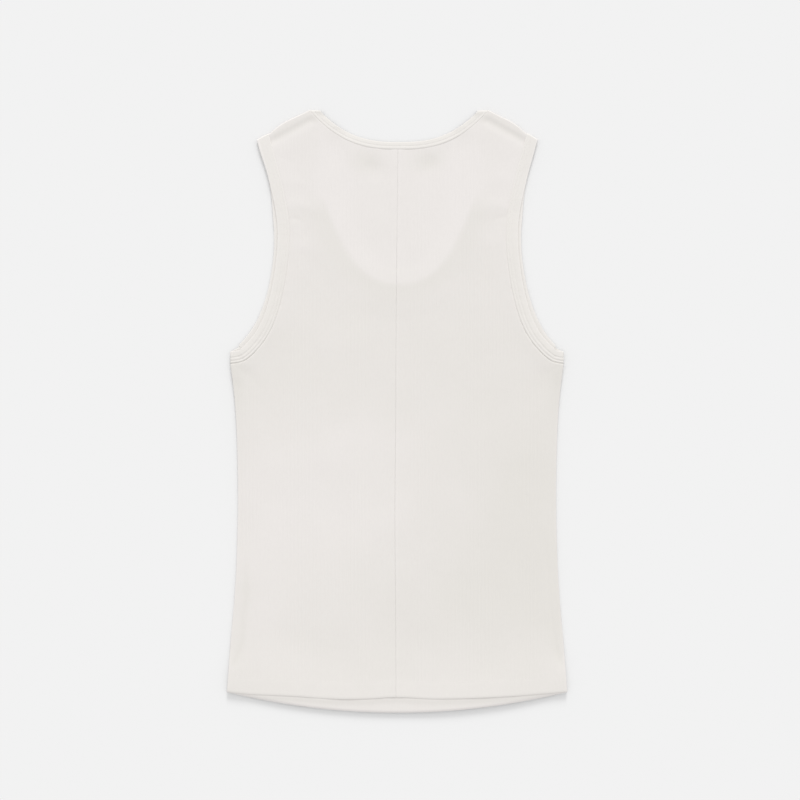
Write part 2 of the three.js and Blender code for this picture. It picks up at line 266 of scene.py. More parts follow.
def value_at(rows, key, column, where):
    """Smooth value of a column in a short table, between its rows."""
    keys = np.array([row[key] for row in rows], float)
    values = np.array([row[column] for row in rows], float)
    last = len(rows) - 1
    ahead = np.minimum(np.arange(last + 1) + 1, last)
    behind = np.maximum(np.arange(last + 1) - 1, 0)
    slope = (values[ahead] - values[behind]) / (keys[ahead] - keys[behind])
    where = np.asarray(where, float)
    i = np.clip(np.searchsorted(keys, where, side="right") - 1, 0, last - 1)
    span = keys[i + 1] - keys[i]
    t = np.clip((where - keys[i]) / span, 0, 1)
    start = values[i] * (2 * t**3 - 3 * t**2 + 1) + slope[i] * span * (t**3 - 2 * t**2 + t)
    end = values[i + 1] * (3 * t**2 - 2 * t**3) + slope[i + 1] * span * (t**3 - t**2)
    return start + end


RANDOM_STEPS = 512
RANDOM_GRID = 64


def uneven(place, step, seed):
    """Smooth random values from -1 to 1 along a line, with one new value for each step."""
    values = np.random.default_rng(seed).uniform(-1, 1, RANDOM_STEPS)
    place = np.asarray(place, float) / step
    i = np.floor(place).astype(int)
    return lerp(values[i % RANDOM_STEPS], values[(i + 1) % RANDOM_STEPS], eased(place - i))


def uneven_over(x, y, step_x, step_y, seed):
    """Smooth random values from -1 to 1 over a surface."""
    values = np.random.default_rng(seed).uniform(-1, 1, (RANDOM_GRID, RANDOM_GRID))
    x = np.asarray(x, float) / step_x + RANDOM_GRID / 2
    y = np.asarray(y, float) / step_y + RANDOM_GRID / 2
    i, j = np.floor(x).astype(int), np.floor(y).astype(int)

    def row(above):
        start = values[i % RANDOM_GRID, (j + above) % RANDOM_GRID]
        return lerp(start, values[(i + 1) % RANDOM_GRID, (j + above) % RANDOM_GRID], eased(x - i))

    return lerp(row(0), row(1), eased(y - j))


def waves(rows, x, y):
    """Sum of the rows of a table of uneven waves over a surface."""
    return sum(row["rise"] * uneven_over(x, y, row["across"], row["along"], row["seed"]) for row in rows)


def lengths(points):
    """How far along a line each of its points lies."""
    steps = np.linalg.norm(np.diff(points, axis=0), axis=1)
    return np.concatenate([[0], np.cumsum(steps)])


class Path:
    """A line on the cloth, for places along it and distances from it."""

    BATCH = 4000

    def __init__(self, points):
        self.points = np.asarray(points, float)
        self.along = lengths(self.points)
        self.length = self.along[-1]
        tangents = np.gradient(self.points, self.along, axis=0)
        self.tangents = tangents / np.linalg.norm(tangents, axis=1, keepdims=True)

    def at(self, share):
        s = np.asarray(share) * self.length
        return np.stack([np.interp(s, self.along, self.points[:, k]) for k in (0, 1)], -1)

    def tangent(self, share):
        s = np.asarray(share) * self.length
        t = np.stack([np.interp(s, self.along, self.tangents[:, k]) for k in (0, 1)], -1)
        return t / np.linalg.norm(t, axis=-1, keepdims=True)

    def near(self, x, y):
        """Distance of each place from the line, and how far along it the nearest point lies."""
        places = np.stack([np.ravel(x), np.ravel(y)], -1)
        a, b = self.points[:-1], self.points[1:]
        d = b - a
        square = (d**2).sum(1)
        distance = np.empty(len(places))
        along = np.empty(len(places))
        for start in range(0, len(places), self.BATCH):
            batch = slice(start, start + self.BATCH)
            p = places[batch, None, :]
            t = np.clip(((p - a) * d).sum(-1) / square, 0, 1)
            gap = ((p - a - t[..., None] * d) ** 2).sum(-1)
            k = gap.argmin(1)
            rows = np.arange(len(k))
            distance[batch] = np.sqrt(gap[rows, k])
            along[batch] = self.along[k] + t[rows, k] * np.sqrt(square[k])
        shape = np.shape(x)
        return distance.reshape(shape), along.reshape(shape)


def spline(points, steps=12):
    """A Catmull-Rom curve through points, its end points doubled."""
    p = np.asarray(points, float)
    n = len(p) - 1
    t = np.linspace(0, n, steps * n + 1)
    i = np.minimum(np.floor(t).astype(int), n - 1)
    w = (t - i)[:, None]
    p0, p1, p2, p3 = p[np.maximum(i - 1, 0)], p[i], p[i + 1], p[np.minimum(i + 2, n)]
    v0, v1 = (p2 - p0) / 2, (p3 - p1) / 2
    curve = (2 * p1 - 2 * p2 + v0 + v1) * w**3 + (3 * p2 - 3 * p1 - 2 * v0 - v1) * w**2
    return curve + v0 * w + p1


def side_half(y):
    return value_at(SIDES, "y", "half", y)


def centre_seam(y):
    return value_at(CENTRE_SEAM, "y", "x", y)


def back_hem(x):
    return value_at(BACK_HEM, "x", "y", x)


def front_hem(x):
    return FRONT_HEM_Y + FRONT_HEM_RISE * (np.asarray(x) / SIDES[0]["half"]) ** 2


def shoulder_fold(side):
    """The shoulder fold of one side, from the neck to the tip, and the way out over it."""
    neck = np.array([NECK_MIDDLE + side * NECK_SEAM["fold_half"], NECK_FOLD_Y])
    tip = np.array([ARMHOLE_MIDDLE + side * SHOULDER_TIP[0], SHOULDER_TIP[1]])
    along = (tip - neck) / np.linalg.norm(tip - neck)
    out = np.array([-along[1] * side, along[0] * side])
    return neck, tip, along, out


def armhole_path(side):
    _, tip, along, _ = shoulder_fold(side)
    start = (side * (side_half(UNDERARM_Y) - FOLD_REACH), UNDERARM_Y)
    middle = [(ARMHOLE_MIDDLE + side * row["x"], row["y"]) for row in ARMHOLE_SEAM]
    return Path(spline([start, *middle, tip - along * ARMHOLE_BINDING], steps=40))


ARMHOLES = {side: armhole_path(side) for side in (-1, 1)}


def across_armhole(side, u):
    """The way across the armhole binding, outward, at each share of the seam."""
    _, _, along, _ = shoulder_fold(side)
    u = np.asarray(u, float)[..., None]
    tangent = ARMHOLES[side].tangent(u[..., 0])
    normal = np.stack([tangent[..., 1], -tangent[..., 0]], -1) * side
    across = lerp(normal, along, smoothstep(u, 1 - SWING_AT_SHOULDER, 1))
    across = lerp(across, np.array([0.0, 1.0]), 1 - smoothstep(u, 0, SWING_AT_UNDERARM))
    return across / np.linalg.norm(across, axis=-1, keepdims=True)


def front_armhole(side, u):
    return value_at(FRONT_ARMHOLE, "along", WORD[side], u)


def back_neck(edge, t):
    """Places on an edge of the neck binding on the back, from -1 at the left shoulder to 1 at the right."""
    t = np.asarray(t, float)
    rise = (NECK_FOLD_Y - edge["back_low"]) * np.abs(t) ** BACK_NECK_POWER
    return np.stack([NECK_MIDDLE + t * edge["fold_half"], edge["back_low"] + rise], -1)


def front_neck(edge, angle):
    """Places on an edge of the neck binding on the front, from angle 0 at the right shoulder to pi."""
    power = 2 / FRONT_NECK_POWER
    across, deep = np.cos(angle), np.clip(np.sin(angle), 0, 1)
    down = (NECK_FOLD_Y - edge["front_low"]) * deep**power
    flare = (edge["scoop_half"] - edge["fold_half"]) * bell(down, NECK_FLARE)
    half = edge["scoop_half"] * np.abs(across) ** power - flare
    return np.stack([NECK_MIDDLE + np.sign(across) * half, NECK_FOLD_Y - down], -1)


# How many places are taken along each line
STATIONS = {"scoop": 181, "back neck": 241, "side": 60, "outer armhole": 120, "armhole": 301, "neck": 261}

SCOOP_SEAM = Path(front_neck(NECK_SEAM, np.linspace(0, math.pi, STATIONS["scoop"])))
BACK_NECK_SEAM = Path(back_neck(NECK_SEAM, np.linspace(-1, 1, STATIONS["back neck"])))


def scoop_distance(x, y):
    """Distance from the front scoop's seam, negative inside the scoop."""
    across = np.abs(x - NECK_MIDDLE) / NECK_SEAM["scoop_half"]
    down = (NECK_FOLD_Y - y) / (NECK_FOLD_Y - NECK_SEAM["front_low"])
    inside = across**FRONT_NECK_POWER + np.maximum(0, down) ** FRONT_NECK_POWER < 1
    return np.where(inside, -1, 1) * SCOOP_SEAM.near(x, y)[0]


def outer_edge(side):
    """The outline of one side, from the hem's corner up to the underarm and round the armhole."""
    y = np.linspace(SIDES[0]["y"], UNDERARM_Y + ARMHOLE_BINDING, STATIONS["side"])
    u = np.linspace(0, 1, STATIONS["outer armhole"])
    out = ARMHOLE_BINDING + front_armhole(side, u)
    armhole = ARMHOLES[side].at(u) + across_armhole(side, u) * out[:, None]
    return Path(np.concatenate([np.stack([side * side_half(y), y], -1), armhole]))


OUTER_EDGES = {side: outer_edge(side) for side in (-1, 1)}


def lift(x, y):
    """How far both layers stand off the floor near their edges."""
    from_hem = np.maximum(0, y - front_hem(x))
    share = 1 + LIFT_UNEVEN["share"] * uneven(x, LIFT_UNEVEN["at_hem"], SEED["hem lift"])
    corner = smoothstep(np.abs(x), HEM_LIFT["corner"], SIDES[0]["half"])
    hem = HEM_LIFT["rise"] * share * bell(from_hem, HEM_LIFT["reach"])
    hem = hem * lerp(1, HEM_LIFT["at_corners"], corner)
    edge = np.zeros(np.shape(x))
    for side, outline in OUTER_EDGES.items():
        rows = (x < 0) == (side < 0)
        off, along = outline.near(x[rows], y[rows])
        rise = value_at(EDGE_LIFT, "along", WORD[side], along / outline.length)
        share = 1 + LIFT_UNEVEN["share"] * uneven(along, LIFT_UNEVEN["at_edge"], SEED["edge lift"] + side)
        edge[rows] = rise * share * bell(off, EDGE_LIFT_REACH)
    return np.hypot(hem, edge)


def to_shoulder(side, x, y):
    neck, _, _, out = shoulder_fold(side)
    return -(x - neck[0]) * out[0] - (y - neck[1]) * out[1]


# The line that the side seam's allowance presses into the back on each side, from the waist to the hem
LEFT_LINE = [(-166, -150), (-166, -179), (-166.2, -209), (-169.2, -230), (-170.5, -254), (-173.6, -266)]
LEFT_LINE_END = (-180.3, -283)
RIGHT_LINE = [(161.6, -120), (164.5, -156), (166.1, -179), (166.9, -203), (169.8, -229), (173.6, -254)]
RIGHT_LINE_END = [(176.6, -267), (181.7, -283)]
SIDE_LINES = {
    -1: Path(spline([*LEFT_LINE, LEFT_LINE_END])),
    1: Path(spline([*RIGHT_LINE, *RIGHT_LINE_END])),
}
SIDE_LINE_SHOWS = {"rise": (0, 0.35), "fall": (0.93, 1)}


def side_line(side, x, y):
    """Distance from the pressed line beside the side seam, and how strongly it shows there."""
    off, along = SIDE_LINES[side].near(x, y)
    return off, between(along / SIDE_LINES[side].length, **SIDE_LINE_SHOWS)


# Soft folds of the back: a line, how deep, how wide to each side, and which way up
CREASES = table(
    "line rise wide",
    ([(-172, 46), (-158, 36), (-148, 14)], -0.22, 8),
    ([(173, 46), (160, 36), (150, 12)], -0.22, 8),
    ([(-35, 276), (-26, 268), (-15, 262)], -0.6, 9),
    ([(26, 268), (35, 272), (46, 280)], -0.55, 8),
    ([(-126, 250), (-115, 253), (-100, 249)], 0.2, 6),
    ([(-122, 224), (-108, 227), (-86, 221)], 0.36, 7),
    ([(-119, 211), (-112, 212), (-104, 209)], -0.2, 2.5),
    ([(-118, 178), (-104, 182), (-86, 176)], 0.22, 8),
    ([(127, 253), (116, 256), (102, 251)], 0.2, 6),
    ([(124, 222), (110, 227), (90, 220)], 0.34, 7),
    ([(121, 214), (113, 213), (105, 210)], -0.16, 2.5),
    ([(119, 186), (106, 188), (92, 181)], 0.18, 8),
    ([(-168, -40), (-120, -58), (-40, -36)], 0.35, 22),
    ([(-60, -150), (10, -112), (80, -96)], 0.3, 26),
    ([(30, -210), (90, -196), (150, -170)], -0.3, 28),
    ([(-150, -236), (-90, -262), (-40, -256)], -0.25, 18),
    ([(60, 40), (110, 20), (150, 28)], -0.25, 20),
    ([(-110, 96), (-60, 74), (-20, 84)], 0.25, 18),
)

# A fold's height at its ends, as a share, and how much its width varies over how long a step
CREASE_ENDS = 0.35
CREASE_DRIFT = {"share": 0.25, "step": 12}

# The armhole's groove: how deep where it is loose and where it is drawn tight, and its reach into the panel
ARMHOLE_GROOVE = {"loose": 0.12, "drawn": 0.95, "reach": 1}
DRAWN_FADES = 1.15
ALLOWANCE = {"wide": 6, "rise": 0.2, "soft": 3}

# Heights along the back's other seams, folds and rows of stitches
RELIEF = lines(
    ("neck seam", -0.3, 0, 0.9),
    ("centre seam", -0.03, 0, 0.9),
    ("left of centre", 0.1, 2, 0.9),
    ("right of centre", 0.06, 2, 0.9),
    ("side line", -0.28, 0, 2.5),
    ("hem stitches", -0.1, 0, 0.9),
    ("shoulder edge", 0.2, 2.5, 2.5),
    ("shoulder hollow", -0.75, 8, 5),
)
HOLLOW_FROM_NECK = 9

# Puckers at a seam, and how strong they are where it is loose, at the neck and down the centre
PUCKER = {"pitch": 5.5, "rise": 0.12, "reach": 5, "loose": 0.2, "neck": 0.6, "centre": 0.5}
CENTRE_PITCH = 7.15

# The hem: its fold's edge, the drift of its row of stitches, and its puckers
HEM_FOLD = {"rise": 0.12, "below": 1, "above": 3}
HEM_DRIFT = {"by": 0.5, "step": 30}
HEM_PUCKER = {"rise": 0.08, "pitch": 9, "reach": 5}

# Uneven waves: broad ones where the cloth lies loose, and fine crimp everywhere
LOOSE_WAVES = table("rise across along seed", (0.22, 46, 60, 71), (0.1, 17, 26, 72))
CRIMP = table("rise across along seed", (0.035, 6, 9, 73))

# How far inside its seam a panel ends, where a binding covers it
SEAM_INSET = 0.3

# How far a hem's upper face rolls down over a short way to its edge, and the small round at its very end
HEM_ROLL = {"drop": 0.35, "reach": 3}
HEM_END = {"drop": 0.22, "reach": 0.8}
HEM_EDGE_WALL = 0.32

# The front's strip below the back's hem: its rise against the hem, and its waves
STRIP_RISE = {"high": 0.75, "reach": 4.5}
STRIP_WAVES = {"rise": 0.1, "pitch": 14, "at": 10, "wide": 8}

# Where the heights change: above the hem, below the armhole binding, and on both sides of the scoop's seam
RISE_AT_HEM = (HEM_DEPTH, HEM_DEPTH + 25)
RISE_AT_BINDING = (UNDERARM_Y - 30, UNDERARM_Y - 2)
SCOOP_STEP = (-14, 6)
SCOOP_BAND = {"middle": -2 * BINDING_THICKNESS, "fade": (7, 34)}


def hem_roll(from_hem):
    rolled = HEM_ROLL["drop"] * (1 - np.clip(from_hem / HEM_ROLL["reach"], 0, 1)) ** 2
    end = 1 - np.clip(from_hem / HEM_END["reach"], 0, 1)
    return rolled + HEM_END["drop"] * (1 - np.sqrt(1 - end**2))


def edge_top(y):
    """Height of the back's upper face along the side edges: low at the waist, higher at hem and bindings."""
    hem = 1 - smoothstep(y - SIDES[0]["y"], *RISE_AT_HEM)
    binding = smoothstep(y, *RISE_AT_BINDING)
    return TOP_AT_SIDES + (TOP_AT_HEM - TOP_AT_SIDES) * hem + (TOP_AT_BINDINGS - TOP_AT_SIDES) * binding


def curl_radius(y):
    """Radius at which each layer turns over at the side edges and the shoulders."""
    return (edge_top(y) - LAYER_GAP) / 2


def edge_share(side, x, y, to_armhole):
    """How much a place belongs to the edges, where the two layers part to meet or to carry a binding."""
    to_side = np.where(y > UNDERARM_Y, np.inf, side_half(y) - curl_radius(y) - np.abs(x))
    nearest = np.minimum(np.minimum(to_shoulder(side, x, y) - SHOULDER_SHELF, to_armhole), to_side)
    return bell(np.maximum(0, nearest), EDGE_REACH)


def back_body(x, y):
    """The back's upper face away from its edges: over the scoop's binding, in the scoop and on the front."""
    scoop = scoop_distance(x, y)
    band = 1 - smoothstep(np.abs(scoop - SCOOP_BAND["middle"]), *SCOOP_BAND["fade"])
    flat = lerp(TOP_IN_SCOOP, TOP_OVER_FRONT, smoothstep(scoop, *SCOOP_STEP))
    return lerp(flat + spots(SWELLS, x, y), TOP_OVER_BINDING, band)


def creases(x, y):
    """Height that the soft folds add to the back."""
    total = np.zeros(np.shape(x))
    for i, crease in enumerate(CREASES):
        fold = Path(spline(crease["line"]))
        off, along = fold.near(x, y)
        taper = lerp(CREASE_ENDS, 1, np.sin(np.pi * np.clip(along / fold.length, 0, 1)))
        drift = 1 + CREASE_DRIFT["share"] * uneven(along, CREASE_DRIFT["step"], SEED["creases"] + i)
        total = total + crease["rise"] * taper * bell(off, crease["wide"] * drift)
    return total


def drawn(share):
    """How tightly the armhole seam is drawn in: from 1 at the underarm to 0 towards the shoulder."""
    return np.clip(1 - DRAWN_FADES * share, 0, 1)


def drawn_value(row, tight):
    return lerp(row["loose"], row["drawn"], tight)


def pucker(to_seam, along, pitch, seed):
    return PUCKER["rise"] * uneven(along, pitch, seed) * bell(to_seam, PUCKER["reach"])


def hem_line(x):
    """How far above the back hem's edge its stitches run."""
    return HEM_DEPTH + HEM_DRIFT["by"] * uneven(x, HEM_DRIFT["step"], SEED["hem line"])


def back_surface(side, x, y):
    """Height of the back's upper face, with its seams, creases and hem."""
    to_armhole, along_armhole = ARMHOLES[side].near(x, y)
    to_neck, along_neck = BACK_NECK_SEAM.near(x, y)
    from_hem = y - back_hem(x)
    to_centre = np.abs(x - centre_seam(y))
    edges = edge_share(side, x, y, to_armhole)
    body = lerp(TOP_AT_HEM, back_body(x, y), smoothstep(from_hem, HEM_SHELF, HEM_SHELF + HEM_FADE))
    z = lerp(body, edge_top(y), edges)

    # Seams draw the cloth in and pucker it
    tight = drawn(along_armhole / ARMHOLES[side].length)
    groove = drawn_value(ARMHOLE_GROOVE, tight) * bell(to_armhole - SEAM_INSET, ARMHOLE_GROOVE["reach"])
    gathers = pucker(to_armhole, along_armhole, PUCKER["pitch"], SEED["armhole"] + side)
    z = z - groove + (PUCKER["loose"] + tight) * gathers
    gathers = pucker(to_neck, along_neck, PUCKER["pitch"], SEED["neck"] + side)
    z = z + beside(RELIEF, "neck seam", to_neck) + PUCKER["neck"] * gathers
    allowance = 1 - smoothstep(to_centre - ALLOWANCE["wide"], 0, ALLOWANCE["soft"])
    ridge = beside(RELIEF, WORD[side] + " of centre", to_centre)
    gathers = pucker(to_centre, y, CENTRE_PITCH, SEED["centre"] + side)
    z = z + ALLOWANCE["rise"] * allowance + ridge + beside(RELIEF, "centre seam", to_centre)
    z = z + PUCKER["centre"] * gathers

    # The shoulder rolls over its seam: a ridge at the edge and a hollow inside it
    inward = to_shoulder(side, x, y)
    hollow = smoothstep(to_neck, 0, HOLLOW_FROM_NECK) * beside(RELIEF, "shoulder hollow", inward)
    z = z + beside(RELIEF, "shoulder edge", inward) + hollow

    # The hem's fold, its row of stitches and its rounded edge
    to_stitches = from_hem - hem_line(x)
    fold = 1 - smoothstep(from_hem, HEM_DEPTH - HEM_FOLD["below"], HEM_DEPTH + HEM_FOLD["above"])
    gathers = uneven(x, HEM_PUCKER["pitch"], SEED["hem pucker"]) * bell(to_stitches, HEM_PUCKER["reach"])
    z = z + HEM_FOLD["rise"] * fold + beside(RELIEF, "hem stitches", to_stitches)
    z = z + HEM_PUCKER["rise"] * gathers - hem_roll(from_hem)

    # The side seam's allowance presses through near the hem
    off, taper = side_line(side, x, y)
    z = z + taper * beside(RELIEF, "side line", off)
    return z + creases(x, y) + (1 - edges) * waves(LOOSE_WAVES, x, y) + waves(CRIMP, x, y)


def spread(length, count, fine, coarse, growth):
    """Shares of each row's length, close together at both ends."""
    length = np.atleast_1d(length)[:, None]
    s = np.linspace(0, 1, SPREAD_SAMPLES) * length
    step = np.minimum(coarse, fine + growth * np.minimum(s, length - s))
    gain = (1 / step[:, 1:] + 1 / step[:, :-1]) / 2 * np.diff(s, axis=1)
    total = np.pad(np.cumsum(gain, axis=1), ((0, 0), (1, 0)))
    wanted = np.linspace(0, 1, count + 1)
    return np.array([np.interp(wanted * row[-1], row, places) for row, places in zip(total, s)]) / length


LAYERS = {
    "back": {"torso_rows": 150, "upper_rows": 225, "columns": 96, "neck_from": 12 / 21, "hem": back_hem},
    "front": {"torso_rows": 90, "upper_rows": 147, "columns": 44, "neck_from": 4 / 21, "hem": front_hem},
}
CURL_STEPS = 6
SEAM_EDGE = 1.2
SPREAD_SAMPLES = 400
MERGE_STEP = 0.002
HEM_STEP = {"fine": 0.3, "coarse": 3.4, "growth": 0.09}
COLUMN_STEP = {"fine": 0.55, "coarse": 3.2, "growth": 0.06}


def neck_edge(layer, side, t):
    """The panel's own edge along the neck, from the centre at 0 to the shoulder at 1."""
    if layer == "back":
        return back_neck(NECK_SEAM, side * t)
    return front_neck(NECK_SEAM, (1 - side * t) * math.pi / 2)


def inner_line(layer, side, y):
    if layer == "back":
        return centre_seam(y) + side * SEAM_HALF_GAP
    return np.full(np.shape(y), float(NECK_MIDDLE))


def row_places(start, end, fine_end, columns):
    """Places along rows from start to end, with the last steps close together over fine_end."""
    length = np.linalg.norm(end - start, axis=-1)
    body = 1 - fine_end / length
    shares = spread(length, columns, **COLUMN_STEP) * body[:, None]
    last = np.linspace(0, 1, CURL_STEPS + 1)[1:]
    shares = np.concatenate([shares, body[:, None] + (1 - body[:, None]) * last], axis=1)
    return lerp(start[:, None, :], end[:, None, :], shares[..., None])


def shoulder_bow(side, places):
    """How far places near the shoulder's edge are moved out."""
    neck, tip, along, _ = shoulder_fold(side)
    share = np.clip((places - neck) @ along / (np.linalg.norm(tip - neck) - ARMHOLE_BINDING), 0, 1)
    near = 1 - smoothstep(to_shoulder(side, places[..., 0], places[..., 1]), 0, SHOULDER_BOW_REACH)
    return near * value_at(SHOULDER_BOW, "along", "out", share)


def panel_places(layer, side):
    """Flat places of a half panel, how far each has turned over its edge, and the way that it turns."""
    kind = LAYERS[layer]
    hem = kind["hem"]
    top = UNDERARM_Y - UNDERARM_CORNER_DROP
    height = top - float(hem(0))
    share = spread(height, kind["torso_rows"], **HEM_STEP)[0]
    outer_y = lerp(float(hem(side * SIDES[0]["half"])), top, share)
    start = inner_line(layer, side, lerp(float(hem(0)), top, share))
    fold = side * (side_half(outer_y) - curl_radius(outer_y))
    columns = spread(np.abs(fold - start), kind["columns"], **COLUMN_STEP)
    x = lerp(start[:, None], fold[:, None], columns)
    x = np.concatenate([x, np.repeat(x[:, -1:], CURL_STEPS, axis=1)], axis=1)
    torso = np.stack([x, lerp(hem(x), top, share[:, None])], -1)
    turns = np.linspace(0, math.pi / 2, CURL_STEPS + 1)[1:]
    torso_turn = np.zeros(torso.shape[:2])
    torso_turn[:, -CURL_STEPS:] = turns

    u = np.linspace(0, 1, kind["upper_rows"] + 1)[1:]
    out = front_armhole(side, u) if layer == "front" else 0 * u
    end = ARMHOLES[side].at(u) + across_armhole(side, u) * (out - SEAM_INSET)[:, None]
    low = NECK_SEAM[layer + "_low"]
    on_neck = np.clip((u - kind["neck_from"]) / (1 - kind["neck_from"]), 0, 1)
    below = lerp(top, low, np.clip(u / kind["neck_from"], 0, 1))
    centre = np.stack([inner_line(layer, side, below), below], -1)
    start = np.where(on_neck[:, None] > 0, neck_edge(layer, side, on_neck), centre)
    upper = row_places(start, end, SEAM_EDGE, kind["columns"])

    _, _, _, over = shoulder_fold(side)
    fold_row = upper[-1] + over * (FOLD_REACH - curl_radius(upper[-1, :, 1:]))
    shoulder = np.repeat(fold_row[None], CURL_STEPS + 1, axis=0)
    places = np.concatenate([torso, upper, shoulder])
    places = places + over * shoulder_bow(side, places)[..., None]
    turn = np.zeros(places.shape[:2])
    turn[: len(torso)] = torso_turn
    turn[-CURL_STEPS:] = turns[:, None]
    way = np.zeros(places.shape)
    way[: len(torso), :, 0] = side
    way[-CURL_STEPS - 1 :] = over
    return places, turn, way, len(torso)


def half_panel(layer, side):
    """The outer and the inner face of a half panel, as grids of places in space."""
    places, turn, way, torso_rows = panel_places(layer, side)
    x, y = places[..., 0], places[..., 1]
    from_hem = y - LAYERS[layer]["hem"](x)
    in_hem = 1 - smoothstep(from_hem, HEM_DEPTH, HEM_DEPTH + HEM_EDGE)
    outer_radius = curl_radius(y)
    inner_radius = outer_radius - WALL
    to_curl = side_half(y) - outer_radius - np.abs(x)
    wall = WALL + HEM_EXTRA * in_hem * smoothstep(to_curl, 0, HEM_SIDE)
    wall = lerp(wall, HEM_EDGE_WALL, (1 - np.clip(from_hem / HEM_ROLL["reach"], 0, 1)) ** 2)
    drop = 1 - np.cos(turn)
    if layer == "back":
        high = back_surface(side, x, y)
        outer_z = high - outer_radius * drop
        inner_z = np.maximum(high - wall, LAYER_GAP) - inner_radius * drop
    else:
        outer_z = outer_radius * drop
        strip = STRIP_RISE["high"] * bell(y - back_hem(x), STRIP_RISE["reach"])
        strip = strip * smoothstep(to_curl, 0, HEM_SIDE)
        wave = uneven(x, STRIP_WAVES["pitch"], SEED["strip"])
        wave = wave * bell(from_hem - STRIP_WAVES["at"], STRIP_WAVES["wide"])
        inner_z = wall + strip + STRIP_WAVES["rise"] * wave + inner_radius * drop
    off_floor = lift(x, y)
    faces = []
    for radius, z in ((outer_radius, outer_z), (inner_radius, inner_z)):
        flat = places + way * (radius * np.sin(turn))[..., None]
        faces.append(np.concatenate([flat, (z + off_floor)[..., None]], -1))
    return faces[0], faces[1], torso_rows


def grid_faces(index):
    """Quads of a grid of vertex numbers."""
    return np.stack([index[:-1, :-1], index[:-1, 1:], index[1:, 1:], index[1:, :-1]], -1).reshape(-1, 4)


def rim_faces(first, second):
    """Quads between two lines of vertex numbers."""
    return np.stack([first[:-1], first[1:], second[1:], second[:-1]], -1)


def half_shell(layer, side):
    """Vertices and quads of one half panel, closed but for the line where the front's halves run on."""
    outer, inner, torso_rows = half_panel(layer, side)
    rows, columns = outer.shape[:2]
    count = rows * columns
    o = np.arange(count).reshape(rows, columns)
    i = o + count
    open_rows = 0
    if layer == "front":
        open_rows = torso_rows + round(LAYERS[layer]["neck_from"] * LAYERS[layer]["upper_rows"]) - 1
    faces = [
        grid_faces(o),
        grid_faces(i)[:, ::-1],
        rim_faces(i[open_rows:, 0], o[open_rows:, 0])[:, ::-1],
        rim_faces(o[:, -1], i[:, -1])[:, ::-1],
        rim_faces(i[0], o[0]),
        rim_faces(o[-1], i[-1]),
    ]
    faces = np.concatenate(faces)
    if (layer == "back") != (side > 0):
        faces = faces[:, ::-1]
    return np.concatenate([outer.reshape(-1, 3), inner.reshape(-1, 3)]), faces


def placed(name, data):
    """A new object in the scene."""
    obj = bpy.data.objects.new(name, data)
    bpy.context.scene.collection.objects.link(obj)
    return obj


def make_object(name, vertices, faces, cloth, tone, material):
    """A smooth mesh from places in millimetres, with its place on the cloth and its tone, painted light and
    shade included, at each vertex.
    """
    mesh = bpy.data.meshes.new(name)
    mesh.vertices.add(len(vertices))
    mesh.vertices.foreach_set("co", np.asarray(vertices * MM, np.float32).ravel())
    mesh.loops.add(faces.size)
    mesh.loops.foreach_set("vertex_index", faces.astype(np.int32).ravel())
    mesh.polygons.add(len(faces))
    mesh.polygons.foreach_set("loop_start", np.arange(0, faces.size, faces.shape[1], dtype=np.int32))
    mesh.update(calc_edges=True)
    attributes = (("cloth", "FLOAT_VECTOR", "vector", cloth), ("tone", "FLOAT", "value", tone))
    for key, kind, field, values in attributes:
        attribute = mesh.attributes.new(key, kind, "POINT")
        attribute.data.foreach_set(field, np.asarray(values, np.float32).ravel())
    mesh.shade_smooth()
    mesh.materials.append(material)
    return placed(name, mesh)


def merged(vertices, faces):
    """Vertices that lie on each other made one."""
    keys = np.round(vertices / MERGE_STEP).astype(np.int64)
    _, first, inverse = np.unique(keys, axis=0, return_index=True, return_inverse=True)
    return vertices[first], inverse.ravel()[faces]


# Broad patches of painted light and painted shade on the back, where its soft swells, hollows and rolled
# edges catch the light or turn from it
LIGHT_AND_SHADE_SPOTS = table(
    "x y wide long most",
    (-95, -95, 85, 80, 0.45),
    (-150, -140, 45, 110, 0.2),
    (10, -70, 60, 60, 0.15),
    (145, -130, 80, 110, -0.34),
    (-85, 150, 50, 60, 0.12),
    (85, 150, 50, 60, 0.12),
    (2, 148, 40, 13, -0.2),
    (60, -230, 110, 50, -0.1),
    (-140, -230, 40, 80, 0.15),
    (-35, 276, 18, 13, -0.5),
    (32, 276, 18, 13, -0.5),
    (-74, 258, 20, 40, 0.36),
    (76, 258, 20, 40, 0.36),
    (-106, 196, 16, 24, 0.14),
    (103, 196, 16, 22, 0.2),
    (-72, -235, 26, 24, 0.18),
    (-150, -225, 22, 20, 0.1),
    (38, -100, 24, 22, -0.13),
    (-50, 82, 28, 16, -0.12),
    (-106, -68, 26, 22, -0.13),
    (-48, 132, 26, 14, 0.2),
    (48, 134, 26, 14, 0.12),
    (-150, 62, 20, 22, 0.12),
    (150, 62, 20, 22, 0.12),
    (-140, -298, 30, 12, -0.12),
    (22, -78, 22, 30, -0.1),
    (-60, 262, 14, 16, 0.12),
    (62, 262, 14, 16, 0.12),
    (-45, -25, 38, 22, 0.16),
    (15, -35, 18, 15, 0.12),
    (72, -112, 25, 24, 0.2),
    (150, -58, 35, 35, -0.14),
    (147, -197, 55, 40, -0.2),
    (-180, 28, 14, 34, -0.45),
    (180, 28, 14, 34, -0.35),
    (-124, 276, 16, 26, 0.17),
    (124, 272, 16, 28, 0.16),
)
PLAIN_TONE = 0.33

# How much lighter each area of the back is painted: painted light where one layer lies on the floor and lets
# its light through, painted light towards the shoulders and on the hem's band, painted shade over the scoop's
# edge that lies beneath, and painted light on the creases' ridges with painted shade in their troughs
AREA_LIGHT_AND_SHADE = {"one layer": 0.52, "shoulders": 0.42, "scoop's edge": -0.15, "hem": 0.02, "creases": 0.35}
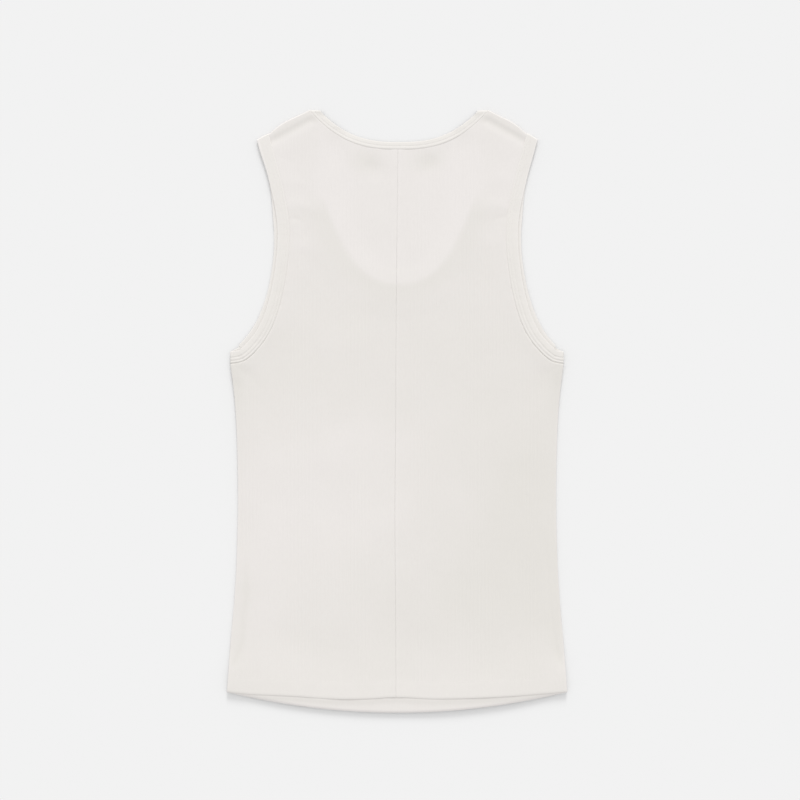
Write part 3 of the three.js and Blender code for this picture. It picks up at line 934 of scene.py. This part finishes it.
# How much lighter its lines are painted: painted shade along the pressed side lines, low in the armholes, at
# the shoulder's edge and in its hollow; painted light on the curled side edges, beside the upper armholes and
# on the ridge right of the centre seam
LINE_LIGHT_AND_SHADE = lines(
    ("side line", -0.3, 0, 4),
    ("side edge", 0.35, 0, 1.3),
    ("beside armhole", 0.2, 0, 16),
    ("low armhole", -0.08, 0, 6),
    ("right of centre", 0.14, 2.2, 1.2),
    ("shoulder edge", -0.3, 0, 2),
    ("shoulder hollow", -0.42, 7, 4.5),
)
MOTTLE = table("rise across along seed", (0.08, 34, 40, 75))

# Where they fade: by distance from the scoop's seam, by place up the back, or by share of the armhole
SCOOP_NARROWS = {"by": 3, "up": (185, 235)}
ONE_LAYER = (-12, -6)
SCOOP_EDGE = {"rise": (-10, -6), "fall": (2, 14)}
SHOULDERS = (215, 245)
HEM_TONE_FADE = (HEM_DEPTH - 2, HEM_DEPTH + 2)
BESIDE_ARMHOLE = {"in": (0.15, 0.3), "up": (225, 255)}
LOW_ARMHOLE = (0.1, 0.25)
CLEAR_OF_ARMHOLE = 8

# The front's tone where the back hides it, and what its strip, the place beside the hem and its rim add: the
# strip lighter away from the back's hem for painted shade under that hem, painted light right beside the hem,
# and a painted highlight on the rim
FRONT_TONE = 0.2
STRIP_LIGHT_AND_SHADE = {"strip": 0.35, "beside hem": 0.4, "rim": 0.45}
STRIP_FADES = {"strip": (1, 9), "beside hem": (0.6, 2.2), "rim": (1.5, 4)}


def back_light_shade_and_tone(side, x, y):
    """How light the back is painted, from 0 to 1: painted light where one layer lies on the floor, painted
    light and painted shade over its areas, folds and lines, and a random mottle.
    """
    scoop = scoop_distance(x, y)
    narrower = SCOOP_NARROWS["by"] * (1 - smoothstep(y, *SCOOP_NARROWS["up"]))
    single = 1 - smoothstep(scoop + narrower, *ONE_LAYER)
    band = between(scoop, **SCOOP_EDGE)
    shoulders = smoothstep(y, *SHOULDERS)
    # Painted light where one layer shows the floor's light through, and painted light towards the shoulders
    tone = PLAIN_TONE + AREA_LIGHT_AND_SHADE["one layer"] * single + AREA_LIGHT_AND_SHADE["shoulders"] * shoulders * (1 - single)
    tone = tone + AREA_LIGHT_AND_SHADE["scoop's edge"] * band * (1 - shoulders)
    tone = tone + AREA_LIGHT_AND_SHADE["hem"] * (1 - smoothstep(y - back_hem(x), *HEM_TONE_FADE))
    # Painted light on the creases' ridges, painted shade in their troughs, and the broad patches of painted
    # light and shade
    tone = tone + AREA_LIGHT_AND_SHADE["creases"] * creases(x, y) + spots(LIGHT_AND_SHADE_SPOTS, x, y)

    off, taper = side_line(side, x, y)
    tone = tone + taper * beside(LINE_LIGHT_AND_SHADE, "side line", off)
    tone = tone + beside(LINE_LIGHT_AND_SHADE, "side edge", side_half(y) - np.abs(x))
    tone = tone + beside(LINE_LIGHT_AND_SHADE, "right of centre", x - centre_seam(y))
    to_armhole, along = ARMHOLES[side].near(x, y)
    share = along / ARMHOLES[side].length
    upper = smoothstep(share, *BESIDE_ARMHOLE["in"]) * (1 - smoothstep(y, *BESIDE_ARMHOLE["up"]))
    tone = tone + upper * beside(LINE_LIGHT_AND_SHADE, "beside armhole", to_armhole)
    tone = tone + (1 - smoothstep(share, *LOW_ARMHOLE)) * beside(LINE_LIGHT_AND_SHADE, "low armhole", to_armhole)
    inward = to_shoulder(side, x, y)
    shoulder = beside(LINE_LIGHT_AND_SHADE, "shoulder edge", inward) + beside(LINE_LIGHT_AND_SHADE, "shoulder hollow", inward)
    tone = tone + shoulder * smoothstep(to_armhole, 0, CLEAR_OF_ARMHOLE)
    return tone + waves(MOTTLE, x, y)


def front_light_shade_and_tone(x, y):
    """How light the front is painted where its strip below the back's hem shows: painted shade near that hem,
    painted light right beside it, and a painted highlight on its rim.
    """
    out = back_hem(x) - y
    shares = {
        "strip": smoothstep(out, *STRIP_FADES["strip"]),
        "beside hem": 1 - smoothstep(out, *STRIP_FADES["beside hem"]),
        "rim": 1 - smoothstep(y - front_hem(x), *STRIP_FADES["rim"]),
    }
    return FRONT_TONE + sum(STRIP_LIGHT_AND_SHADE[key] * share for key, share in shares.items())


def panel(name, layer, sides, material):
    parts, quads, start = [], [], 0
    for side in sides:
        vertices, faces = half_shell(layer, side)
        quads.append(faces + start)
        parts.append(vertices)
        start += len(vertices)
    vertices, faces = np.concatenate(parts), np.concatenate(quads)
    if len(sides) > 1:
        vertices, faces = merged(vertices, faces)
    x, y = vertices[:, 0], vertices[:, 1]
    tone = back_light_shade_and_tone(sides[0], x, y) if layer == "back" else front_light_shade_and_tone(x, y)
    return make_object(name, vertices, faces, np.stack([x, y, 0 * x], -1), tone, material)


# Rows of stitches on the bindings, as distances out from the seam
ARMHOLE_STITCHES = (2, 5.6)
NECK_STITCHES = (3,)
STITCH = {"length": 2.7, "pitch": 3.3, "thread": 0.3, "sink": 0.14, "rings": 5, "sides": 6, "blunt": 0.96}
ROW_END = 2
HEM_ROW = {"start": 4, "end": 5}
THREAD_TONE = {"middle": 0.5, "varies": 0.4, "step": 3}
STITCH_TROUGH = {"loose": 0.06, "drawn": 0.5, "wide": 0.6}
BINDING_PUCKER = {"rise": 0.09, "pitch": 4.5, "slant": 0.6, "at": 0.35, "wide": 0.4}
BINDING_WAVES = {"pitch": 11, "slant": 0.5, "full": 0.6}

# Steps round a binding's section and over its folds
SECTION_POINTS = 29
FOLD_STEPS = 18

# A binding thins towards its folded edge, and its back run droops there onto the front run or the floor
EDGE_ROUND = 1.5
BINDING_THINS = {"by": 0.3, "from": 0.4}
ARMHOLE_DROOP = 0.45
ARMHOLE_DROOPS = {"rise": (0, 0.07), "fall": (0.85, 1)}
ARMHOLE_WIDER = {"left": 1.4, "right": 0.2, "in": (0.84, 0.98)}
NECK_DROOP = {"middle": 0.2, "sides": 0.7, "fade": (0.35, 0.65)}
NECK_SINK = {"middle": 0.3, "sides": 0.6, "fade": (0.6, 0.9)}
NECK_LEVELS = (0.93, 1)

# The binding's start at the seam: tucked into the panel, and rising to its full height over a short way
SEAM_TUCK = 0.8
SEAM_ROUND = 0.9
SEAM_LIP = {"loose": 0.9, "drawn": 0.25, "tucked": 0.4}

# How high the soft waves are on each stretch of a binding, and how tightly the neck's is drawn
ARMHOLE_WAVES = (0.05, 0.05, 0, 0.05)
NECK_WAVES = {"middle": 0.05, "sides": 0.25, "fade": (0.5, 0.85)}
NECK_FOLD_WAVES = 0.1
NECK_TIGHT = 0.4

# Tones of the bindings, and what they gain from the seam to the folded edge: the armhole bindings are painted
# lighter towards the folded edge, painted light against the shade there; where drawn tight they are darker
# all over, and the neck binding is darker towards its folded edge
ARMHOLE_TONE = 0.46
NECK_TONE = 0.52
DRAWN_TONE = {"all": -0.22, "outer": 0.12, "fade": (6, 11)}
LOOSE_TONE = {"all": 0.1, "outer": 0.4, "fade": (10.5, 12)}
NECK_OUTER_TONE = {"all": 0, "outer": -0.2, "fade": (3.5, 6)}
BINDING_MOTTLE = {"light": 0.06, "step": 25}


def binding_profile(across, width, tight):
    """Half thickness of a binding: a soft lip at the seam, and a full round at the folded edge."""
    start = drawn_value(SEAM_LIP, tight)
    rise = np.sqrt(1 - (1 - np.clip((across + SEAM_INSET) / SEAM_ROUND, 0, 1)) ** 2)
    tucked = lerp(SEAM_LIP["tucked"], 1, smoothstep(across, -SEAM_TUCK, -SEAM_INSET))
    lip = start * tucked + (1 - start) * rise
    edge = np.sqrt(np.clip(1 - (1 - np.clip((width - across) / EDGE_ROUND, 0, 1)) ** 2, 0, 1))
    thinner = 1 - BINDING_THINS["by"] * smoothstep(across, BINDING_THINS["from"] * width, width)
    return BINDING_THICKNESS / 2 * lip * edge * thinner


def binding_relief(across, along, width, rows, seed, wave, tight):
    """Fine relief on the upper face of a binding: stitch troughs, small puckers and soft waves."""
    troughs = sum(bell(across - row, STITCH_TROUGH["wide"]) for row in rows)
    relief = -drawn_value(STITCH_TROUGH, tight) * troughs
    gathers = uneven(along + across * BINDING_PUCKER["slant"], BINDING_PUCKER["pitch"], seed)
    gathers = gathers * bell(across - width * BINDING_PUCKER["at"], width * BINDING_PUCKER["wide"])
    soft = uneven(along - across * BINDING_WAVES["slant"], BINDING_WAVES["pitch"], seed + 1)
    soft = soft * smoothstep(across, 0, width * BINDING_WAVES["full"])
    return relief + BINDING_PUCKER["rise"] * tight * gathers + wave * soft


class Ring:
    """A binding as stations round a closed ring, each with its seam point, its edge point and its normal."""

    def __init__(self, stations, stitches, seed, waves, tight):
        counts = [len(seam) for seam, _, _ in stations]
        self.seam, self.edge, self.normal = (np.concatenate(part) for part in zip(*stations))
        self.along = lengths(self.seam)
        self.width = np.linalg.norm(self.edge - self.seam, axis=1)
        self.stitches = stitches
        self.seed = seed
        self.waves = np.concatenate([np.full(n, 1.0) * value for n, value in zip(counts, waves)])
        self.tight = np.concatenate([np.full(n, 1.0) * value for n, value in zip(counts, tight)])

    def surface(self, k, across):
        """A place on the upper face at station k."""
        share = (across / self.width[k])[..., None]
        width, tight = self.width[k], self.tight[k]
        relief = binding_relief(across, self.along[k], width, self.stitches, self.seed, self.waves[k], tight)
        height = binding_profile(across, width, tight) + relief
        return lerp(self.seam[k], self.edge[k], share) + self.normal[k] * height[..., None]

    def shell(self):
        n = len(self.seam)
        t = (1 - np.cos(np.linspace(0, math.pi, SECTION_POINTS))) / 2
        station = np.repeat(np.arange(n)[:, None], SECTION_POINTS, axis=1)
        across = lerp(-SEAM_TUCK, self.width[:, None], t)
        upper = self.surface(station, across)
        share = (across / self.width[:, None])[..., None]
        middle = lerp(self.seam[:, None], self.edge[:, None], share)
        half = binding_profile(across, self.width[:, None], self.tight[:, None])[..., None]
        lower = middle - self.normal[:, None] * half
        ring = np.concatenate([upper, lower[:, -2::-1]], axis=1)
        ring[..., 2] += lift(ring[..., 0], ring[..., 1])
        index = np.arange(n * ring.shape[1]).reshape(n, -1)
        index = np.concatenate([index, index[:1]])
        index = np.concatenate([index, index[:, :1]], axis=1)
        along = np.repeat(self.along[:, None], ring.shape[1], axis=1)
        across = np.concatenate([across, across[:, -2::-1]], axis=1)
        place = np.stack([along, across, 0 * along], -1)
        return ring.reshape(-1, 3), grid_faces(index), place.reshape(-1, 3)


FRONT_RUN_Z = BINDING_THICKNESS / 2
BACK_RUN_Z = FRONT_RUN_Z + 2 * FOLD_RADIUS


def raised(points, z):
    return np.concatenate([points, np.broadcast_to(z, len(points))[:, None]], -1)


def flat_run(seam, edge, seam_z, edge_z, is_back):
    return raised(seam, seam_z), raised(edge, edge_z), np.tile(UP if is_back else -UP, (len(seam), 1))


def fold_run(seam, edge, out, downward):
    """Stations where a binding turns over, from the back run down to the front run or back up."""
    t = np.linspace(0, 1, FOLD_STEPS + 1)[1:-1]
    turn = (t if downward else 1 - t)[:, None] * math.pi
    normal = np.array([out[0], out[1], 0.0]) * np.sin(turn) + UP * np.cos(turn)
    middle = BINDING_THICKNESS / 2 + FOLD_RADIUS
    turned = normal * FOLD_RADIUS
    return np.append(seam, middle) + turned, np.append(edge, middle) + turned, normal


def armhole_ring(side):
    u = np.linspace(0, 1, STATIONS["armhole"])
    across = across_armhole(side, u)
    seam = ARMHOLES[side].at(u)
    droop = ARMHOLE_DROOP * between(u, **ARMHOLE_DROOPS)
    width = (ARMHOLE_BINDING + ARMHOLE_WIDER[WORD[side]] * smoothstep(u, *ARMHOLE_WIDER["in"]))[:, None]
    back = flat_run(seam, seam + across * width, BACK_RUN_Z, BACK_RUN_Z - droop, True)
    v = u[::-2]
    across = across_armhole(side, v)
    seam = ARMHOLES[side].at(v) + across * front_armhole(side, v)[:, None]
    front = flat_run(seam, seam + across * width[::-2], FRONT_RUN_Z, FRONT_RUN_Z, False)
    _, _, _, out = shoulder_fold(side)
    shoulder = fold_run(back[0][-1, :2], back[1][-1, :2], out, True)
    underarm = fold_run(back[0][0, :2], back[1][0, :2], (side, 0), False)
    runs, tight = [back, shoulder, front, underarm], (drawn(u), 0, drawn(v), 1)
    return Ring(runs, ARMHOLE_STITCHES, SEED["armhole ring"] + side, ARMHOLE_WAVES, tight)


def from_middle(row, off_middle):
    """A value along the back neck, from its middle to its sides."""
    return lerp(row["middle"], row["sides"], smoothstep(off_middle, *row["fade"]))


def neck_ring():
    t = np.linspace(-1, 1, STATIONS["neck"])
    seam, edge = back_neck(NECK_SEAM, t), back_neck(NECK_EDGE, t)
    off_middle = np.abs(t)
    share = np.empty(len(t))
    for side, rows in ((-1, t < 0), (1, t >= 0)):
        x, y = seam[rows].T
        share[rows] = edge_share(side, x, y, ARMHOLES[side].near(x, y)[0])
    z = lerp(back_body(seam[:, 0], seam[:, 1]), TOP_AT_BINDINGS, share) - from_middle(NECK_SINK, off_middle)
    droop = from_middle(NECK_DROOP, off_middle)
    ends = smoothstep(off_middle, *NECK_LEVELS)
    back = flat_run(seam, edge, lerp(z, BACK_RUN_Z, ends), lerp(z - droop, BACK_RUN_Z, ends), True)
    angle = np.linspace(0, math.pi, STATIONS["scoop"])
    seam, edge = front_neck(NECK_SEAM, angle), front_neck(NECK_EDGE, angle)
    front = flat_run(seam, edge, FRONT_RUN_Z, FRONT_RUN_Z, False)
    right = fold_run(back[0][-1, :2], back[1][-1, :2], (0, 1), True)
    left = fold_run(back[0][0, :2], back[1][0, :2], (0, 1), False)
    heights = (from_middle(NECK_WAVES, off_middle), NECK_FOLD_WAVES, 0, NECK_FOLD_WAVES)
    return Ring([back, right, front, left], NECK_STITCHES, SEED["neck ring"], heights, (NECK_TIGHT,) * 4)


def gained(row, across):
    return row["all"] + row["outer"] * smoothstep(across, *row["fade"])


def binding(name, ring, tone, material):
    vertices, faces, place = ring.shell()
    along, across, _ = place.T
    tight = np.repeat(ring.tight, len(place) // len(ring.tight))
    if ring.stitches == ARMHOLE_STITCHES:
        # Painted light towards the armhole bindings' folded edges
        tone = tone + tight * gained(DRAWN_TONE, across) + (1 - tight) * gained(LOOSE_TONE, across)
    else:
        tone = tone + gained(NECK_OUTER_TONE, across)
    tone = tone + BINDING_MOTTLE["light"] * uneven(along, BINDING_MOTTLE["step"], ring.seed + 5)
    return make_object(name, vertices, faces, place, tone, material)


def stitches(name, places, ways, material):
    """Short sunk loops of thread, one at each place, as one joined mesh."""
    places, ways = np.concatenate(places), np.concatenate(ways)
    rings, sides = STITCH["rings"], STITCH["sides"]
    s = np.linspace(-1, 1, rings)
    radius = STITCH["thread"] / 2 * np.sqrt(np.clip(1 - (STITCH["blunt"] * s) ** 4, 0, 1))[:, None]
    angle = np.arange(sides) * 2 * math.pi / sides
    ways = ways / np.linalg.norm(ways, axis=-1, keepdims=True)
    across = np.cross(UP, ways)
    centre = places[:, None] + ways[:, None] * (s * STITCH["length"] / 2)[:, None]
    centre = centre - UP * (STITCH["sink"] * s**4)[:, None]
    ring = centre[:, :, None] + across[:, None, None] * (radius * np.cos(angle))[..., None]
    ring = ring + UP * (radius * np.sin(angle))[..., None]
    n = len(places)
    index = np.arange(n * rings * sides).reshape(n, rings, sides)
    index = np.concatenate([index, index[..., :1]], axis=-1)
    corners = index[:, :-1, :-1], index[:, :-1, 1:], index[:, 1:, 1:], index[:, 1:, :-1]
    quads = [np.stack(corners, -1).reshape(-1, 4)]
    for end, corners in ((0, (3, 2, 1, 0)), (0, (5, 4, 3, 0)), (-1, (0, 1, 2, 3)), (-1, (0, 3, 4, 5))):
        quads.append(index[:, end, corners])
    vertices = ring.reshape(-1, 3)
    cloth = vertices * (1, 1, 0)
    varied = uneven(np.arange(n), THREAD_TONE["step"], SEED["thread"])
    tone = THREAD_TONE["middle"] + THREAD_TONE["varies"] * varied
    return make_object(name, vertices, np.concatenate(quads), cloth, np.repeat(tone, rings * sides), material)


def ring_stitches(name, ring, stations, material):
    """Stitches along the upper face of a ring's back run, each row half a stitch on from the last."""
    places, ways = [], []
    for row, across in enumerate(ring.stitches):
        track = ring.surface(np.arange(stations), np.full(stations, float(across)))
        track[:, 2] += lift(track[:, 0], track[:, 1])
        along = lengths(track)

        def spot(s):
            return np.stack([np.interp(s, along, track[:, k]) for k in range(3)], -1)

        where = np.arange(STITCH["pitch"] * (1 + row) / 2, along[-1] - ROW_END, STITCH["pitch"])
        places.append(spot(where))
        ways.append(spot(where + 0.5) - spot(where - 0.5))
    return stitches(name, places, ways, material)


def hem_stitches(name, material):
    """Stitches along the back hem, from the centre seam to both sides."""
    places, ways = [], []
    for side in (-1, 1):
        x = side * np.arange(HEM_ROW["start"], SIDES[0]["half"] - HEM_ROW["end"], STITCH["pitch"])
        low, y, high = (back_hem(place) + hem_line(place) for place in (x - 1, x, x + 1))
        places.append(np.stack([x, y, back_surface(side, x, y) + lift(x, y)], -1))
        ways.append(np.stack([1 + 0 * x, (high - low) / 2, 0 * x], -1))
    return stitches(name, places, ways, material)


class Nodes:
    """Adds and links the nodes of one material."""

    def __init__(self, name):
        self.material = bpy.data.materials.new(name)
        self.material.use_nodes = True
        self.tree = self.material.node_tree
        self.shader = self.tree.nodes["Principled BSDF"]

    def add(self, kind, inputs=(), **settings):
        node = self.tree.nodes.new(kind)
        for key, value in settings.items():
            setattr(node, key, value)
        for socket, value in dict(inputs).items():
            if isinstance(value, bpy.types.NodeSocket):
                self.tree.links.new(value, node.inputs[socket])
            else:
                node.inputs[socket].default_value = value
        return node

    def math(self, operation, a, b=0.0, c=0.0):
        return self.add("ShaderNodeMath", {0: a, 1: b, 2: c}, operation=operation).outputs[0]

    def noise(self, vector, scale, detail=2.0):
        stretched = self.add("ShaderNodeVectorMath", {0: vector, 1: scale}, operation="MULTIPLY").outputs[0]
        inputs = {"Vector": stretched, "Scale": 1.0, "Detail": detail}
        return self.add("ShaderNodeTexNoise", inputs).outputs["Fac"]

    def mottled(self, colour, *noises):
        """A colour made a little lighter and darker by each noise, and joined to the shader."""
        shade = 1.0
        for noise, light in noises:
            shade = self.math("MULTIPLY_ADD", self.math("SUBTRACT", noise, 0.5), light, shade)
        painted = self.add("ShaderNodeVectorMath", {0: colour, "Scale": shade}, operation="SCALE").outputs[0]
        self.tree.links.new(painted, self.shader.inputs["Base Color"])

    def finish(self, **sockets):
        """Sets the shader's own sockets, named with _ for each space, and gives the material."""
        for name, value in sockets.items():
            self.shader.inputs[name.replace("_", " ")].default_value = value
        return self.material


# Noises of the cloth: how fine across and along it, and how detailed
YARNS = {"scale": (0.75, 0.06, 0.0)}
LOOPS = {"scale": (1.6, 2.2, 0.0), "detail": 1.0}
BLOTCHES = {"scale": (0.03, 0.022, 0.0), "detail": 3.0}
SPECKS = {"scale": (0.5, 0.16, 0.0)}
LOOP_HEIGHT = 0.35
BUMP = {"Strength": 0.55, "Distance": 0.00022}
BLOTCH_LIGHT = 0.014
SPECK_LIGHT = 0.03
FLOOR_NOISE = {"scale": (6.0, 6.0, 6.0)}
FLOOR_NOISE_LIGHT = 0.002


def knit_material(name, dark, pale, rib_pitch, rib, grain):
    """Matt fine rib cotton: ribs along the cloth, uneven yarns, faint mottling, and a soft nap; its colour
    follows the tone at each vertex, with its painted light and painted shade.
    """
    nodes = Nodes(name)
    cloth = nodes.add("ShaderNodeAttribute", attribute_name="cloth").outputs["Vector"]
    tone = nodes.add("ShaderNodeAttribute", attribute_name="tone").outputs["Fac"]
    parts = nodes.add("ShaderNodeSeparateXYZ", {0: cloth})
    wave = nodes.math("SINE", nodes.math("MULTIPLY", parts.outputs[0], 2 * math.pi / rib_pitch))
    ribs = nodes.math("MULTIPLY_ADD", wave, 0.5, 0.5)
    height = nodes.math("MULTIPLY", nodes.noise(cloth, **LOOPS), LOOP_HEIGHT)
    height = nodes.math("MULTIPLY_ADD", nodes.noise(cloth, **YARNS), grain, height)
    height = nodes.math("MULTIPLY_ADD", ribs, rib, height)
    bump = nodes.add("ShaderNodeBump", {"Height": height, **BUMP})
    nodes.tree.links.new(bump.outputs[0], nodes.shader.inputs["Normal"])
    # The tone mixes in painted light and painted shade as well as random mottling
    light = nodes.add("ShaderNodeMix", {0: tone, 6: (*dark, 1), 7: (*pale, 1)}, data_type="RGBA").outputs[2]
    blotches, specks = nodes.noise(cloth, **BLOTCHES), nodes.noise(cloth, **SPECKS)
    nodes.mottled(light, (blotches, BLOTCH_LIGHT), (specks, SPECK_LIGHT))
    return nodes.finish(Roughness=0.92, Specular_IOR_Level=0.22, Sheen_Weight=0.08, Sheen_Roughness=0.6)


def floor_material():
    nodes = Nodes("pale_floor")
    place = nodes.add("ShaderNodeTexCoord").outputs["Object"]
    nodes.mottled(FLOOR_COLOUR, (nodes.noise(place, **FLOOR_NOISE), FLOOR_NOISE_LIGHT))
    return nodes.finish(Roughness=0.95, Specular_IOR_Level=0.0)


# Each cloth's colour runs from the dark to its pale ivory by the tone at each vertex, which carries painted
# light and painted shade
DARK_IVORY = (0.708, 0.685, 0.650)
PALE_IVORY = (0.764, 0.733, 0.714)
TRIM_IVORY = (0.8, 0.772, 0.747)
THREAD_IVORY = (0.79, 0.765, 0.74)
FLOOR_COLOUR = (0.8, 0.8, 0.8)
FLOOR_HALF = 6
FLOOR_BELOW = 0.0002

# The photo is taken straight down, over a place a little right of the middle and towards the neck
CAMERA_AIM = (3.3, 12.65)
FRAME_WIDTH = 880
LENS = 100
SENSOR = 36

# Light on the floor, and the share of it that comes from the large soft lamp beyond the neck
FLOOR_LIGHT = 1.109
LAMP = {"share": 0.18, "angle": 18, "height": 22, "from_left": -3}


def make_stage():
    scene = bpy.context.scene
    mesh = bpy.data.meshes.new("floor")
    corners = [(x * FLOOR_HALF, y * FLOOR_HALF, 0) for x, y in ((-1, -1), (1, -1), (1, 1), (-1, 1))]
    mesh.from_pydata(corners, [], [(0, 1, 2, 3)])
    mesh.materials.append(floor_material())
    floor = placed("floor", mesh)
    floor.location.z = -FLOOR_BELOW

    world = bpy.data.worlds.new("soft_room")
    world.use_nodes = True
    sky = world.node_tree.nodes["Background"]
    sky.inputs["Color"].default_value = (1, 1, 1, 1)
    sky.inputs["Strength"].default_value = FLOOR_LIGHT * (1 - LAMP["share"])
    scene.world = world

    up = math.radians(LAMP["height"])
    turn = math.radians(LAMP["from_left"])
    light = bpy.data.lights.new("studio_light", "SUN")
    light.energy = FLOOR_LIGHT * LAMP["share"] * math.pi / math.sin(up)
    light.angle = math.radians(LAMP["angle"])
    lamp = placed("studio_light", light)
    source = Vector((-math.sin(turn) * math.cos(up), math.cos(turn) * math.cos(up), math.sin(up)))
    lamp.rotation_euler = source.to_track_quat("Z", "Y").to_euler()

    data = bpy.data.cameras.new("camera")
    data.lens = LENS
    data.sensor_width = SENSOR
    camera = placed("camera", data)
    camera.location = (CAMERA_AIM[0] * MM, CAMERA_AIM[1] * MM, FRAME_WIDTH * MM * LENS / SENSOR)
    scene.camera = camera
    scene.view_settings.view_transform = "Standard"


def declare(piece, node):
    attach(piece, "root")
    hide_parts(node)


def half_outline(layer, side):
    """The edge of a half panel as it lies, folds over its edges left out."""
    places, _, _, _ = panel_places(layer, side)
    return np.concatenate([places[0], places[:, -1], places[-1, ::-1], places[::-1, 0]])


def span(outline):
    low, high = outline.min(0), outline.max(0)
    return tuple(float(v) * MM for v in high - low)


def sewn(piece):
    """A row of stitches rides with the cloth."""
    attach(piece, "root")


make_stage()
jersey = knit_material("rib_jersey", DARK_IVORY, PALE_IVORY, rib_pitch=1.5, rib=0.35, grain=0.7)
trim = knit_material("rib_binding", DARK_IVORY, TRIM_IVORY, rib_pitch=1.3, rib=0.5, grain=0.5)
thread = knit_material("sewing_thread", PALE_IVORY, THREAD_IVORY, rib_pitch=0.5, rib=0.6, grain=0.2)

backs = {side: panel(f"back_{word}_cloth", "back", [side], jersey) for side, word in WORD.items()}
front = panel("front_cloth", "front", [-1, 1], jersey)
neck = neck_ring()
neck_piece = binding("neck_binding_cloth", neck, NECK_TONE, trim)
neck_sewing = ring_stitches("neck_stitching", neck, STATIONS["neck"], thread)
hem_sewing = hem_stitches("hem_stitching", thread)

for side, word in WORD.items():
    outline = half_outline("back", side)
    declare(backs[side], f"back_{word}")
    ring = armhole_ring(side)
    piece = binding(f"armhole_binding_{word}_cloth", ring, ARMHOLE_TONE, trim)
    sewing = ring_stitches(f"armhole_stitching_{word}", ring, STATIONS["armhole"], thread)
    declare(piece, f"armhole_binding_{word}")
    sewn(sewing)

left, right = (half_outline("front", side) for side in WORD)
outline = np.concatenate([left, right[::-1]])
declare(front, "front")
declare(neck_piece, "neck_binding")
sewn(neck_sewing)
sewn(hem_sewing)
